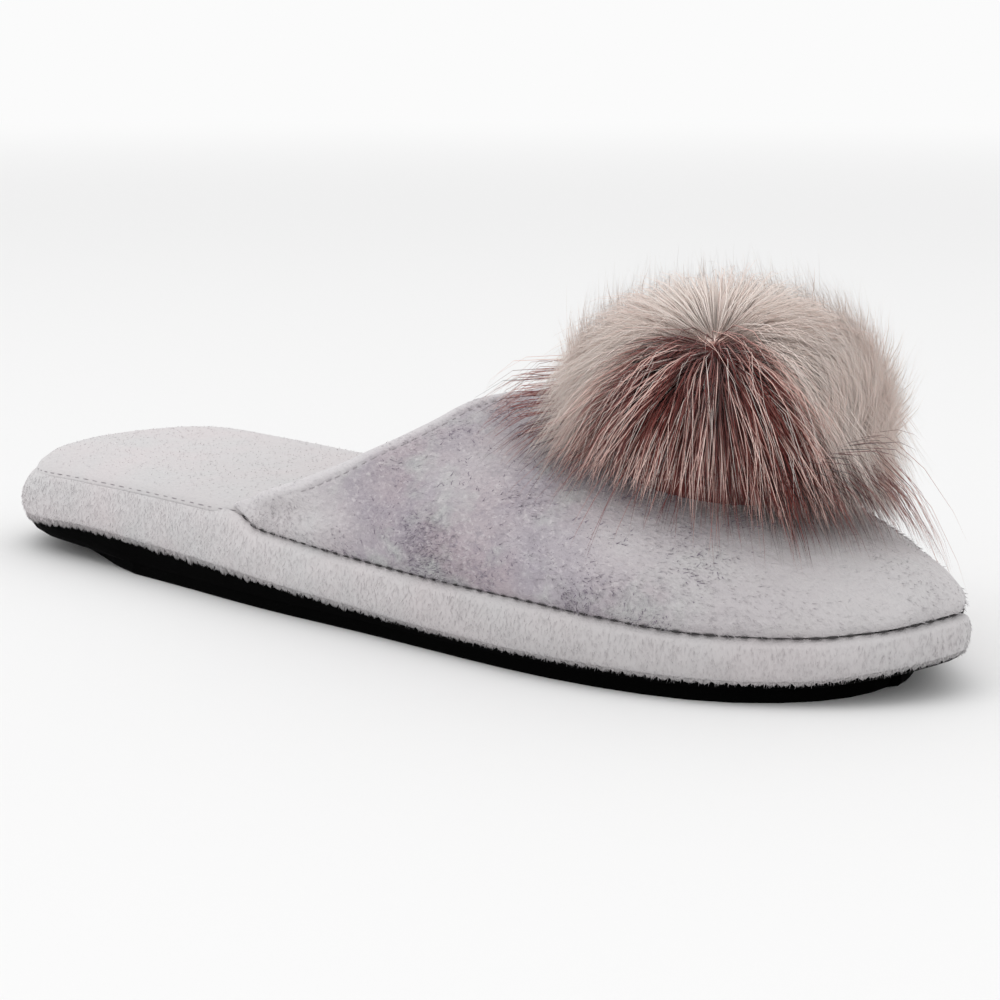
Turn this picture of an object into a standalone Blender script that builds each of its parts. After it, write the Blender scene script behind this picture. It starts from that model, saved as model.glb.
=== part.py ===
# Pom pom slipper, the right shoe of a pair: a moulded outsole, a platform wrapped in plush, an insole,
# an open-backed upper and a faux fur pompom. Metres, +X to the toe, +Y to the inner side of the foot, +Z up.
# The origin is on the floor in the middle of the heel's flat spot. The code below measures along the shoe from
# the rearmost point of the heel, and each finished piece is moved back to that origin.
import math

import bmesh
import bpy
import numpy as np
from mathutils import Vector

# Overall sizes, over the plush
LENGTH = 0.262
BALL_WIDTH = 0.090
HEEL_WIDTH = 0.066
PLATFORM_HEIGHT = 0.0226
INSTEP_HEIGHT = 0.0487

# Clearance where two pieces meet
SEAT_GAP = 0.0003

# Outsole: a thin rim and, under it, a raised pad with bowed tread grooves
RIM_HEIGHT = 0.0088
RIM_INSET = 0.0020
RIM_EDGE = 0.0012
PAD_HEIGHT = 0.0030
PAD_SIDE_INSET = 0.0028
PAD_HEEL_INSET = 0.0190
PAD_TOE_INSET = 0.0155
PAD_BEVEL = 0.0007
TOE_LIFT = 0.84
TOE_LIFT_LENGTH = 0.08
GROOVE_DEPTH = 0.0014
GROOVE_WIDTH = 0.0026
GROOVE_PITCH = 0.0110
GROOVE_BOW = 0.0060
GROOVE_MARGIN = 0.0050
GROOVE_STEPS = 6
FLAT_LENGTH = 0.0200
HEEL_FLAT = 0.0560
BALL_FLAT = 0.1900

# Platform and insole
HEEL_ROLL = 0.0048
HEEL_ROLL_SHARE = 0.13
HEEL_ROLL_POWER = 3.0
INSOLE_THICKNESS = 0.0022
INSOLE_CROWN = 0.0022
INSOLE_EDGE = 0.0021
INSOLE_CLEARANCE = 0.0009
INSOLE_TOE_EASE = 0.0012
INSOLE_TOE_START = 0.85

# Upper
WALL = 0.0022
SEAM_INSET = 0.0010
HEM_WIDTH = 0.0032
HEM_SWELL = 0.0005
HEM_ROLL = 0.0007
HEM_STRETCH = 3.0
HEM_FADE = 0.08
THROAT = 0.565
TOE_DEPTH = 0.020
CREST_SHIFT = 0.0020
OUTER_CORNER = 0.0970
INNER_CORNER = 0.1030
CORNER_LENGTH = 0.0110

# Pompom: a core with tapered locks that lie away from the parting of the fur
POM_PLACE = 0.2030
POM_CORE_RADIUS = 0.0310
POM_CORE_HEIGHT = 0.0240
POM_RISE = 0.0085
POM_SEAT = 0.0004
POM_LOCKS = 70
POM_COVER = 0.81
PARTING_TILT = 35.0
PARTING_TURN = -50.0
LOCK_LENGTH = 0.0165
LOCK_SPREAD = 0.30
LOCK_ROOT = 0.86
LOCK_WIDTH = 0.0140
LOCK_FLATNESS = 0.70
LOCK_SWEEP = 0.45
LOCK_DROOP = 0.45
LOCK_SIDES = 5

# Mesh steps
STATIONS = 32
CORNER_STATIONS = 8
ARCH_STEPS = 26
UPPER_ROWS = 20
ROW_EASE = 1.3
EDGE_STEPS = 720

# Colours
RUBBER_BLACK = (0.012, 0.012, 0.013)
BAND_GREY = (0.62, 0.57, 0.58)
INSOLE_GREY = (0.66, 0.61, 0.62)
UPPER_LILAC = (0.55, 0.50, 0.55)
FUR_PINK = (0.62, 0.47, 0.43)
HELPER_GREY = (0.5, 0.5, 0.5)

# Outline: a row for each station. "ball" says how far the width follows the ball rather than the heel, and
# "outer" and "inner" are the half widths as shares of that width.
PLAN = (
    dict(along=0.02, ball=0.0, outer=0.270, inner=0.270),
    dict(along=0.07, ball=0.0, outer=0.444, inner=0.448),
    dict(along=0.14, ball=0.0, outer=0.492, inner=0.492),
    dict(along=0.22, ball=0.0, outer=0.510, inner=0.488),
    dict(along=0.32, ball=0.3, outer=0.497, inner=0.432),
    dict(along=0.42, ball=0.6, outer=0.488, inner=0.398),
    dict(along=0.52, ball=0.8, outer=0.476, inner=0.425),
    dict(along=0.62, ball=1.0, outer=0.473, inner=0.470),
    dict(along=0.71, ball=1.0, outer=0.488, inner=0.508),
    dict(along=0.79, ball=1.0, outer=0.474, inner=0.494),
    dict(along=0.87, ball=1.0, outer=0.413, inner=0.420),
    dict(along=0.94, ball=1.0, outer=0.284, inner=0.246),
    dict(along=0.98, ball=1.0, outer=0.160, inner=0.114),
)

# Heights along the shoe: "rim" is the plush's lower edge as a share of RIM_HEIGHT, "seam" and "bed" are the
# upper's seam and the edge of the insole as shares of PLATFORM_HEIGHT, with the toe spring in all three.
HEIGHTS = (
    dict(along=0.00, rim=0.80, seam=0.900, bed=0.900),
    dict(along=0.07, rim=0.89, seam=0.960, bed=0.960),
    dict(along=0.15, rim=1.00, seam=1.000, bed=1.000),
    dict(along=0.22, rim=0.94, seam=0.960, bed=1.000),
    dict(along=0.30, rim=0.87, seam=0.900, bed=1.000),
    dict(along=0.38, rim=0.79, seam=0.835, bed=1.000),
    dict(along=0.45, rim=0.70, seam=0.778, bed=0.955),
    dict(along=0.52, rim=0.60, seam=0.722, bed=0.890),
    dict(along=0.60, rim=0.52, seam=0.690, bed=0.830),
    dict(along=0.70, rim=0.49, seam=0.678, bed=0.775),
    dict(along=0.78, rim=0.49, seam=0.640, bed=0.740),
    dict(along=0.86, rim=0.47, seam=0.592, bed=0.710),
    dict(along=0.92, rim=0.50, seam=0.588, bed=0.700),
    dict(along=0.96, rim=0.65, seam=0.625, bed=0.715),
    dict(along=1.00, rim=0.92, seam=0.720, bed=0.760),
)

# Crest of the upper above its seam, as a share of its rise at the throat, and the fullness of its arch
CREST = (
    dict(along=0.34, rise=1.06, fullness=2.2),
    dict(along=0.45, rise=1.04, fullness=2.2),
    dict(along=0.55, rise=1.00, fullness=2.2),
    dict(along=0.66, rise=0.86, fullness=2.2),
    dict(along=0.77, rise=0.70, fullness=2.15),
    dict(along=0.86, rise=0.54, fullness=2.1),
    dict(along=0.93, rise=0.41, fullness=2.0),
    dict(along=0.98, rise=0.23, fullness=2.0),
    dict(along=1.00, rise=0.00, fullness=2.0),
)

# Topline: where the upper begins, by its place across the arch from the outer seam (0) to the inner one (1)
TOPLINE = (
    dict(across=0.00, along=0.380),
    dict(across=0.02, along=0.389),
    dict(across=0.06, along=0.411),
    dict(across=0.12, along=0.463),
    dict(across=0.19, along=0.508),
    dict(across=0.27, along=0.540),
    dict(across=0.36, along=0.560),
    dict(across=0.50, along=0.565),
    dict(across=0.64, along=0.558),
    dict(across=0.73, along=0.538),
    dict(across=0.81, along=0.508),
    dict(across=0.88, along=0.468),
    dict(across=0.94, along=0.428),
    dict(across=1.00, along=0.404),
)

# Folded hem of the topline: share of HEM_WIDTH back from the edge, and of HEM_SWELL out of the wall
HEM = (
    dict(back=0.00, swell=0.3),
    dict(back=0.30, swell=1.0),
    dict(back=0.55, swell=1.0),
    dict(back=0.80, swell=1.0),
    dict(back=1.00, swell=0.2),
    dict(back=1.25, swell=0.0),
)

# Insole from its lower edge to the middle: inset, how far below the edge line, and the rise of its crown
INSOLE_PROFILE = (
    dict(inset=0.0000, side=-0.65, crown=0.00),
    dict(inset=0.0002, side=-0.18, crown=0.00),
    dict(inset=0.0011, side=0.00, crown=0.14),
    dict(inset=0.0045, side=0.00, crown=0.64),
    dict(inset=0.0100, side=0.00, crown=0.91),
    dict(inset=0.0170, side=0.00, crown=1.00),
)

# Height of the insole's crown along the shoe, as a share of INSOLE_CROWN
PADDING = (
    dict(along=0.00, crown=1.85),
    dict(along=0.08, crown=1.85),
    dict(along=0.18, crown=1.45),
    dict(along=0.30, crown=1.05),
    dict(along=0.45, crown=0.90),
    dict(along=1.00, crown=0.70),
)

# Side of the platform from its lower edge up: inset from the outline, height as a share of the band
BAND_SIDE = (
    dict(inset=0.0017, up=0.03),
    dict(inset=0.0009, up=0.09),
    dict(inset=0.0003, up=0.22),
    dict(inset=0.0000, up=0.48),
    dict(inset=0.0003, up=0.72),
    dict(inset=0.0008, up=0.91),
)

# Rounded ends of the pad: how far its inset goes from that of the side to that of the heel and of the toe
PAD_EDGE = (
    dict(along=0.00, heel=1.00, toe=0.00),
    dict(along=0.05, heel=0.79, toe=0.00),
    dict(along=0.10, heel=0.62, toe=0.00),
    dict(along=0.15, heel=0.38, toe=0.00),
    dict(along=0.19, heel=0.13, toe=0.00),
    dict(along=0.23, heel=0.00, toe=0.00),
    dict(along=0.86, heel=0.00, toe=0.00),
    dict(along=0.90, heel=0.00, toe=0.06),
    dict(along=0.94, heel=0.00, toe=0.22),
    dict(along=0.97, heel=0.00, toe=0.52),
    dict(along=0.99, heel=0.00, toe=0.80),
    dict(along=1.00, heel=0.00, toe=1.00),
)

# Edge of the rim from its top to the pad: share of the way in to the pad, height as a share of the rim
RIM_SIDE = (
    dict(inward=0.00, up=0.72),
    dict(inward=0.08, up=0.40),
    dict(inward=0.22, up=0.15),
    dict(inward=0.45, up=0.00),
)

# Lock of fur from its root to just short of its tip: place along it and thickness
LOCK = (
    dict(along=0.00, thick=0.86),
    dict(along=0.38, thick=1.00),
    dict(along=0.76, thick=0.56),
)


def values(rows, name):
    return np.array([row[name] for row in rows], float)


def smooth_step(t):
    t = np.clip(t, 0.0, 1.0)
    return t * t * (3 - 2 * t)


# A curve through the rows of a table that never overshoots them
def blend(rows, key, name, at):
    x, y = values(rows, key), values(rows, name)
    step = np.diff(x)
    secant = np.diff(y) / step
    slope = np.zeros_like(y)
    same = secant[:-1] * secant[1:] > 0
    first, second = 2 * step[1:] + step[:-1], step[1:] + 2 * step[:-1]
    inner = np.zeros(len(x) - 2)
    inner[same] = ((first + second)[same] / (first[same] / secant[:-1][same] + second[same] / secant[1:][same]))
    slope[1:-1] = inner
    slope[0], slope[-1] = secant[0], secant[-1]
    at = np.clip(at, x[0], x[-1])
    i = np.clip(np.searchsorted(x, at, side="right") - 1, 0, len(x) - 2)
    h = step[i]
    t = (at - x[i]) / h
    return (
        (1 + 2 * t) * (1 - t) ** 2 * y[i]
        + t * (1 - t) ** 2 * h * slope[i]
        + t * t * (3 - 2 * t) * y[i + 1]
        + t * t * (t - 1) * h * slope[i + 1]
    )


# A smooth closed curve of one value against an angle
def round_spline(angles, heights):
    count = len(angles)
    step = np.diff(np.append(angles, angles[0] + 2 * math.pi))
    matrix = np.zeros((count, count))
    right = np.zeros(count)
    for i in range(count):
        after = (i + 1) % count
        matrix[i, i - 1] += step[i - 1]
        matrix[i, i] += 2 * (step[i - 1] + step[i])
        matrix[i, after] += step[i]
        right[i] = 6 * ((heights[after] - heights[i]) / step[i] - (heights[i] - heights[i - 1]) / step[i - 1])
    bend = np.linalg.solve(matrix, right)

    def at(angle):
        angle = np.mod(angle - angles[0], 2 * math.pi) + angles[0]
        i = np.clip(np.searchsorted(angles, angle, side="right") - 1, 0, count - 1)
        j = (i + 1) % count
        b = (angle - angles[i]) / step[i]
        a = 1 - b
        value = a * heights[i] + b * heights[j]
        value += ((a**3 - a) * bend[i] + (b**3 - b) * bend[j]) * step[i] ** 2 / 6
        slope = (heights[j] - heights[i]) / step[i]
        slope += ((3 * b * b - 1) * bend[j] - (3 * a * a - 1) * bend[i]) * step[i] / 6
        return value, slope

    return at


# The outline runs from the heel (angle 0) along the outer side to the toe (pi) and back along the inner side
def make_outline():
    along, ball = values(PLAN, "along"), values(PLAN, "ball")
    width = HEEL_WIDTH + ball * (BALL_WIDTH - HEEL_WIDTH)
    turn = np.arccos(1 - 2 * along)
    angles = np.concatenate([[0], turn, [math.pi], 2 * math.pi - turn[::-1]])
    outer, inner = -width * values(PLAN, "outer"), width * values(PLAN, "inner")
    return round_spline(angles, np.concatenate([[0], outer, [0], inner[::-1]]))


# Stations along the shoe as angles, closer together beside the upper's two corners, the same on both sides
def make_stations():
    start, end = OUTER_CORNER, INNER_CORNER + CORNER_LENGTH
    even = np.linspace(0, math.pi, STATIONS + 1)
    place = LENGTH * (1 - np.cos(even)) / 2
    clear = (end - start) / CORNER_STATIONS / 2
    kept = even[(place < start - clear) | (place > end + clear)]
    corner = np.arccos(1 - 2 * np.linspace(start, end, CORNER_STATIONS) / LENGTH)
    outer = np.sort(np.concatenate([kept, corner]))
    return np.concatenate([outer, 2 * math.pi - outer[-2:0:-1]])


OUTLINE = make_outline()
ANGLES = make_stations()
ALONG = (1 - np.cos(ANGLES)) / 2
SIDES = np.where(ANGLES <= math.pi, -1.0, 1.0)


def outline_points(angle, inset):
    y, slope = OUTLINE(angle)
    x = LENGTH * (1 - np.cos(angle)) / 2
    tangent = np.stack([LENGTH * np.sin(angle) / 2, slope], -1)
    tangent /= np.linalg.norm(tangent, axis=-1, keepdims=True)
    return x - inset * tangent[:, 1], y + inset * tangent[:, 0]


# One ring round the shoe, moved in from the outline. Its height is a function of the share along the shoe and
# of the side, -1 on the outer side and 1 on the inner.
def ring(inset, height):
    x, y = outline_points(ANGLES, inset)
    return np.stack([x, y, height(x / LENGTH, SIDES)], -1)


def level(height):
    return lambda along, side: np.full_like(along, height)


def raised(base, rise):
    return lambda along, side: base(along, side) + rise


def between(low, high, share):
    return lambda along, side: low(along, side) + share * (high(along, side) - low(along, side))


def rim_top(along, side=None):
    return RIM_HEIGHT * blend(HEIGHTS, "along", "rim", along)


# The rim's underside is level with the top of the pad, and lifts with the rim under the toe
def underside(along, side=None):
    share = smooth_step((along - TOE_LIFT) / TOE_LIFT_LENGTH)
    thinnest = rim_top(along) - RIM_EDGE
    return np.minimum(PAD_HEIGHT * (1 - share) + thinnest * share, thinnest)


def seam_height(along, side=None):
    return PLATFORM_HEIGHT * blend(HEIGHTS, "along", "seam", along)


def bed_height(along, side=None):
    return PLATFORM_HEIGHT * blend(HEIGHTS, "along", "bed", along)


# 0 behind the upper and 1 under it, with a short blend at each corner
def under_upper(along, side):
    corner = np.where(side < 0, OUTER_CORNER, INNER_CORNER)
    return smooth_step((along * LENGTH - corner) / CORNER_LENGTH)


def band_top(along, side):
    share = under_upper(along, side)
    return bed_height(along) * (1 - share) + seam_height(along) * share


# The band rolls in further round the back of the heel
def heel_roll(along):
    return HEEL_ROLL * (1 - smooth_step(along / HEEL_ROLL_SHARE))


def band_shoulder(along, side):
    share = under_upper(along, side)
    behind = INSOLE_EDGE - 2 * SEAT_GAP
    return heel_roll(along) + behind * (1 - share) + SEAM_INSET * share


# The insole draws in half a blend before the band does, so that it clears the upper's corner
def insole_inset(along, side):
    share = under_upper(along + CORNER_LENGTH / LENGTH / 2, side)
    toe = INSOLE_TOE_EASE * smooth_step((along - INSOLE_TOE_START) / (1 - INSOLE_TOE_START))
    inside = SEAM_INSET + WALL + INSOLE_CLEARANCE + toe
    return heel_roll(along) + INSOLE_EDGE * (1 - share) + inside * share


def insole_floor(along, side=None):
    return bed_height(along) - INSOLE_THICKNESS


def insole_crown(along, side=None):
    return bed_height(along) + INSOLE_CROWN * blend(PADDING, "along", "crown", along)


def pad_inset(along):
    heel = (PAD_HEEL_INSET - PAD_SIDE_INSET) * blend(PAD_EDGE, "along", "heel", along)
    toe = (PAD_TOE_INSET - PAD_SIDE_INSET) * blend(PAD_EDGE, "along", "toe", along)
    return PAD_SIDE_INSET + heel + toe


def new_object(name, bm, colour, roughness):
    bmesh.ops.recalc_face_normals(bm, faces=bm.faces)
    bmesh.ops.translate(bm, verts=bm.verts, vec=(-HEEL_FLAT, 0, 0))
    mesh = bpy.data.meshes.new(name)
    bm.to_mesh(mesh)
    bm.free()
    mesh.shade_smooth()
    mesh.set_sharp_from_angle(angle=math.radians(35))
    obj = bpy.data.objects.new(name, mesh)
    bpy.context.scene.collection.objects.link(obj)
    material = bpy.data.materials.new(name)
    material.use_nodes = True
    shader = material.node_tree.nodes["Principled BSDF"]
    shader.inputs["Base Color"].default_value = (*colour, 1)
    shader.inputs["Roughness"].default_value = roughness
    shader.inputs["Metallic"].default_value = 0
    mesh.materials.append(material)
    return obj


def helper(name, bm):
    obj = new_object(name, bm, HELPER_GREY, 0.5)
    obj.hide_render = True
    obj.display_type = "WIRE"
    return obj


def combine(obj, other, operation):
    modifier = obj.modifiers.new(operation.title(), "BOOLEAN")
    modifier.operation = operation
    modifier.object = other
    modifier.use_self = operation == "UNION"


# Strips across the shoe that close a ring, each joining two outer points to the two inner ones abreast of them
def close_ring(bm, verts):
    count = len(verts)
    for i in range(count // 2):
        corners = [verts[i], verts[i + 1], verts[count - i - 1], verts[(count - i) % count]]
        bm.faces.new([v for k, v in enumerate(corners) if v not in corners[:k]])


def join_rows(bm, first, second, closed=True):
    count = len(first)
    for i in range(count if closed else count - 1):
        j = (i + 1) % count
        bm.faces.new([first[i], first[j], second[j], second[i]])


def close_point(bm, verts, point):
    for i in range(len(verts)):
        bm.faces.new([verts[i], verts[(i + 1) % len(verts)], point])


def lofted(rings):
    bm = bmesh.new()
    layers = [[bm.verts.new(point) for point in points] for points in rings]
    close_ring(bm, layers[0])
    for first, second in zip(layers, layers[1:]):
        join_rows(bm, first, second)
    close_ring(bm, layers[-1])
    return bm


# Bowed bars across the pad. They stay clear of its edge and of the flats under the heel and the ball.
def groove_bars():
    bm = bmesh.new()
    low, high = PAD_HEEL_INSET + GROOVE_MARGIN, LENGTH - PAD_TOE_INSET - GROOVE_MARGIN
    shares = np.linspace(-1, 1, GROOVE_STEPS + 1)
    count = int((high - low - GROOVE_BOW) / GROOVE_PITCH)
    for number in range(1, count + 1):
        place = low + number * GROOVE_PITCH
        if min(abs(place - HEEL_FLAT), abs(place - BALL_FLAT)) < FLAT_LENGTH / 2:
            continue
        turn = math.acos(1 - 2 * place / LENGTH)
        inset = pad_inset(np.array([place / LENGTH])) + GROOVE_MARGIN
        outer = outline_points(np.array([turn]), inset)[1][0]
        inner = outline_points(np.array([2 * math.pi - turn]), inset)[1][0]
        rows = []
        for share in shares:
            x = place + GROOVE_BOW * (0.5 - share * share)
            y = (outer + inner) / 2 + share * (inner - outer) / 2
            corners = ((-1, -1), (1, -1), (1, 1), (-1, 1))
            rows.append([bm.verts.new((x + a * GROOVE_WIDTH / 2, y, b * GROOVE_DEPTH)) for a, b in corners])
        for first, second in zip(rows, rows[1:]):
            join_rows(bm, first, second)
        bm.faces.new(rows[0])
        bm.faces.new(rows[-1])
    return helper("groove_cutter", bm)


def make_outsole():
    pad = pad_inset(ALONG)
    rings = [ring(RIM_INSET, rim_top)]
    for row in RIM_SIDE:
        inset = RIM_INSET + row["inward"] * (pad - RIM_INSET)
        rings.append(ring(inset, between(underside, rim_top, row["up"])))
    rings.append(ring(pad, underside))
    rings.append(ring(pad, level(PAD_BEVEL)))
    rings.append(ring(pad + PAD_BEVEL, level(0)))
    outsole = new_object("outsole", lofted(rings), RUBBER_BLACK, 0.55)
    combine(outsole, groove_bars(), "DIFFERENCE")


def make_platform():
    foot = raised(rim_top, SEAT_GAP)
    roll, share = heel_roll(ALONG), under_upper(ALONG, SIDES)
    shoulder = band_shoulder(ALONG, SIDES)
    ledge = shoulder + SEAT_GAP + WALL * np.minimum(2 * share, 1)
    rings = [ring(RIM_INSET + SEAT_GAP, foot)]
    for row in BAND_SIDE:
        rings.append(ring(row["inset"] + roll * row["up"] ** HEEL_ROLL_POWER, between(foot, band_top, row["up"])))
    rings.append(ring(shoulder, band_top))
    rings.append(ring(ledge, band_top))
    rings.append(ring(ledge + SEAT_GAP / 3, raised(insole_floor, -SEAT_GAP)))
    new_object("platform", lofted(rings), BAND_GREY, 0.95)


def make_insole():
    edge = insole_inset(ALONG, SIDES)
    rings = [ring(edge, insole_floor)]
    for row in INSOLE_PROFILE:
        height = between(bed_height, insole_crown, row["crown"])
        rings.append(ring(edge + row["inset"], raised(height, row["side"] * INSOLE_THICKNESS)))
    new_object("insole", lofted(rings), INSOLE_GREY, 0.95)


# The outer and the inner half of the outline, moved in, as dense points
def side_curves(inset):
    angle = np.linspace(0, math.pi, EDGE_STEPS + 1)
    return outline_points(angle, inset), outline_points(2 * math.pi - angle, inset)


# Height of the upper's crest line at a share along the shoe
def crest_height(along):
    tip = 1 - SEAM_INSET / LENGTH
    turn = np.arccos(np.clip(1 - 2 * along / tip, -1, 1))
    rows = [dict(turn=math.acos(1 - 2 * row["along"]), rise=row["rise"]) for row in CREST]
    throat = INSTEP_HEIGHT - seam_height(THROAT)
    return seam_height(along) + throat * blend(rows, "turn", "rise", turn)


# A row of the upper: the arch at a share along the shoe, in from its outer face by a depth. Across runs from the
# outer seam (0) over the crest (0.5) to the inner seam (1), and the arches close to a point at the toe.
def arch(along, across, depth, curves):
    (outer_x, outer_y), (inner_x, inner_y) = curves
    x = along * LENGTH
    near_tip = np.clip((outer_x[-1] - x) / TOE_DEPTH, 0, 1)
    side = np.where(across < 0.5, -1.0, 1.0)
    base = band_top(along, side) + SEAT_GAP
    crest = crest_height(np.clip(along + depth / LENGTH, 0, 1)) - depth * near_tip
    rise = np.maximum(crest - base, 0)
    centre = CREST_SHIFT * np.clip((1 - along) / (1 - THROAT), 0, 1)
    reach = np.where(side < 0, centre - np.interp(x, outer_x, outer_y), np.interp(x, inner_x, inner_y) - centre)
    power = 2 / blend(CREST, "along", "fullness", along)
    flat, up = np.cos(across * math.pi), np.clip(np.sin(across * math.pi), 0, 1)
    return np.stack([x, centre + side * np.abs(flat) ** power * reach, base + rise * up**power], -1)


# The upper's outer face (facing 1) or inner face (facing -1) as rows from the topline to the toe, and its tip
def upper_face(depth, facing):
    across = np.linspace(0, 1, ARCH_STEPS + 1)
    start = blend(TOPLINE, "across", "along", across)
    curves = side_curves(SEAM_INSET + depth)
    tip = 1 - (SEAM_INSET + depth) / LENGTH
    slant = np.gradient(start * LENGTH, across * BALL_WIDTH * math.pi / 2)
    hem_run = HEM_WIDTH / LENGTH * np.minimum(np.sqrt(1 + slant**2), HEM_STRETCH)
    places = [start + hem_run * row["back"] for row in HEM]
    first = places[-1]
    for step in range(1, UPPER_ROWS):
        places.append(first + (tip - first) * math.sin((step / UPPER_ROWS) ** ROW_EASE * math.pi / 2))
    points = np.array([arch(place, across, depth, curves) for place in places])
    normal = np.cross(np.gradient(points, axis=0), np.gradient(points, axis=1))
    normal /= np.maximum(np.linalg.norm(normal, axis=-1, keepdims=True), 1e-12)
    clear = np.clip(np.minimum(across, 1 - across) / HEM_FADE, 0, 1)
    for number, row in enumerate(HEM):
        points[number] += normal[number] * (facing * HEM_SWELL * row["swell"] * clear)[:, None]
    return points, arch(np.array([tip]), np.array([0.0]), depth, curves)[0]


def make_upper():
    bm = bmesh.new()
    outer_points, outer_tip = upper_face(0.0, 1)
    inner_points, inner_tip = upper_face(WALL, -1)
    roll = (outer_points[0] + inner_points[0]) / 2
    roll[:, 0] -= HEM_ROLL
    edge = [bm.verts.new(point) for point in roll]
    ends = []
    for points, tip in ((outer_points, outer_tip), (inner_points, inner_tip)):
        grid = [[bm.verts.new(point) for point in row] for row in points]
        pole = bm.verts.new(tip)
        for first, second in zip([edge] + grid, grid):
            join_rows(bm, first, second, closed=False)
        for one, two in zip(grid[-1], grid[-1][1:]):
            bm.faces.new([one, two, pole])
        ends.append((grid, pole))
    for end in (0, -1):
        outer, inner = ([row[end] for row in grid] + [pole] for grid, pole in ends)
        bm.faces.new([edge[end], outer[0], inner[0]])
        join_rows(bm, outer, inner, closed=False)
    new_object("upper", bm, UPPER_LILAC, 0.95)


# The solid form inside the upper's outer face, grown by a gap, that shapes the pompom's underside
def upper_form(gap):
    bm = bmesh.new()
    across = np.linspace(0, 1, ARCH_STEPS + 1)
    curves = side_curves(SEAM_INSET - gap)
    tip = 1 - SEAM_INSET / LENGTH
    first = POM_PLACE / LENGTH - POM_CORE_RADIUS * 2 / LENGTH
    shares = np.sin(np.linspace(0, math.pi / 2, 2 * UPPER_ROWS + 1))[:-1]
    places = [np.full_like(across, first + (tip - first) * share) for share in shares]
    rows = [[bm.verts.new(point) for point in arch(place, across, -gap, curves)] for place in places]
    pole = bm.verts.new(arch(np.array([tip]), np.array([0.0]), -gap, curves)[0])
    for one, two in zip(rows, rows[1:]):
        join_rows(bm, one, two)
    close_point(bm, rows[-1], pole)
    bm.faces.new(rows[0])
    return helper("upper_form", bm)


# A tapered lock that leaves its root outwards, then sweeps away from the parting and droops
def add_lock(bm, root, outwards, away, length):
    side = outwards.cross(away).normalized()
    point, rows, last = root.copy(), [], 0.0
    for row in LOCK:
        along = row["along"]
        way = outwards * (1 - LOCK_SWEEP * along) + away * along
        way.z -= LOCK_DROOP * along * along
        way.normalize()
        point += way * length * (along - last)
        last = along
        up = way.cross(side) * LOCK_FLATNESS
        radius = LOCK_WIDTH / 2 * row["thick"]
        turns = [2 * math.pi * k / LOCK_SIDES for k in range(LOCK_SIDES)]
        rows.append([bm.verts.new(point + (side * math.cos(t) + up * math.sin(t)) * radius) for t in turns])
    tip = bm.verts.new(point + way * length * (1 - last))
    for one, two in zip(rows, rows[1:]):
        join_rows(bm, one, two)
    close_point(bm, rows[-1], tip)
    bm.faces.new(rows[0])


def make_pom_pom():
    crest = float(crest_height(np.array([POM_PLACE / LENGTH]))[0])
    centre = Vector((POM_PLACE, CREST_SHIFT, crest + POM_RISE))
    tilt, turn = math.radians(PARTING_TILT), math.radians(PARTING_TURN)
    parting = Vector((math.sin(tilt) * math.cos(turn), math.sin(tilt) * math.sin(turn), math.cos(tilt)))
    core_size = Vector((POM_CORE_RADIUS, POM_CORE_RADIUS, POM_CORE_HEIGHT))
    core = bmesh.new()
    bmesh.ops.create_icosphere(core, subdivisions=3, radius=1.0)
    for vert in core.verts:
        vert.co = centre + vert.co * core_size
    pom_pom = new_object("pom_pom", core, FUR_PINK, 0.9)
    locks = bmesh.new()
    golden_angle = math.pi * (3 - math.sqrt(5))
    for number in range(POM_LOCKS):
        height = 1 - 2 * POM_COVER * (number + 0.5) / POM_LOCKS
        flat = math.sqrt(1 - height * height)
        turn = golden_angle * number
        outwards = Vector((flat * math.cos(turn), flat * math.sin(turn), height))
        away = (outwards - parting * outwards.dot(parting)).normalized()
        length = LOCK_LENGTH * (1 + LOCK_SPREAD * math.sin(turn * turn) / 2)
        add_lock(locks, centre + outwards * core_size * LOCK_ROOT, outwards, away, length)
    combine(pom_pom, helper("pom_pom_locks", locks), "UNION")
    combine(pom_pom, upper_form(POM_SEAT), "DIFFERENCE")


for old in list(bpy.data.objects):
    bpy.data.objects.remove(old)
make_outsole()
make_platform()
make_insole()
make_upper()
make_pom_pom()
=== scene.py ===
import math

import bmesh
import bpy
import numpy as np
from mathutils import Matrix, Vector


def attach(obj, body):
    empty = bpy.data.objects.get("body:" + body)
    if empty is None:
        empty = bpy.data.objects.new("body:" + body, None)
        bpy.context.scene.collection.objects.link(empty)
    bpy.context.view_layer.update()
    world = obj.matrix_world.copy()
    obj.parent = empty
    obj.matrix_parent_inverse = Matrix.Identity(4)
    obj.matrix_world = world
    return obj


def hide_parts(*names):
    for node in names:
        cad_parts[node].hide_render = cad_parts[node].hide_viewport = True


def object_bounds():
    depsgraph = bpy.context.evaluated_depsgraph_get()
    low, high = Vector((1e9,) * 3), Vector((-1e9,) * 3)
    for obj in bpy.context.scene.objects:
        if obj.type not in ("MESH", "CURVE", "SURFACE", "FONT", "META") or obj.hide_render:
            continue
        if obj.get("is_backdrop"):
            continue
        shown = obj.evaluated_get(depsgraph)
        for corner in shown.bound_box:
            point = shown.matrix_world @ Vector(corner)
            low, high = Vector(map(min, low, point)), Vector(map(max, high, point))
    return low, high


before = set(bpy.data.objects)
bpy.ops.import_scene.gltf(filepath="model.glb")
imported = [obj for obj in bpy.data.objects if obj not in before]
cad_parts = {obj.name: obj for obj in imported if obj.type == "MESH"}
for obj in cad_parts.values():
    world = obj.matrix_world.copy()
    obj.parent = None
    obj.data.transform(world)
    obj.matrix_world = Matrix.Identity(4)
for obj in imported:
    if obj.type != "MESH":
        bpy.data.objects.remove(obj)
cadLow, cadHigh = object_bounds()
print("packed slipper loaded")

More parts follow.
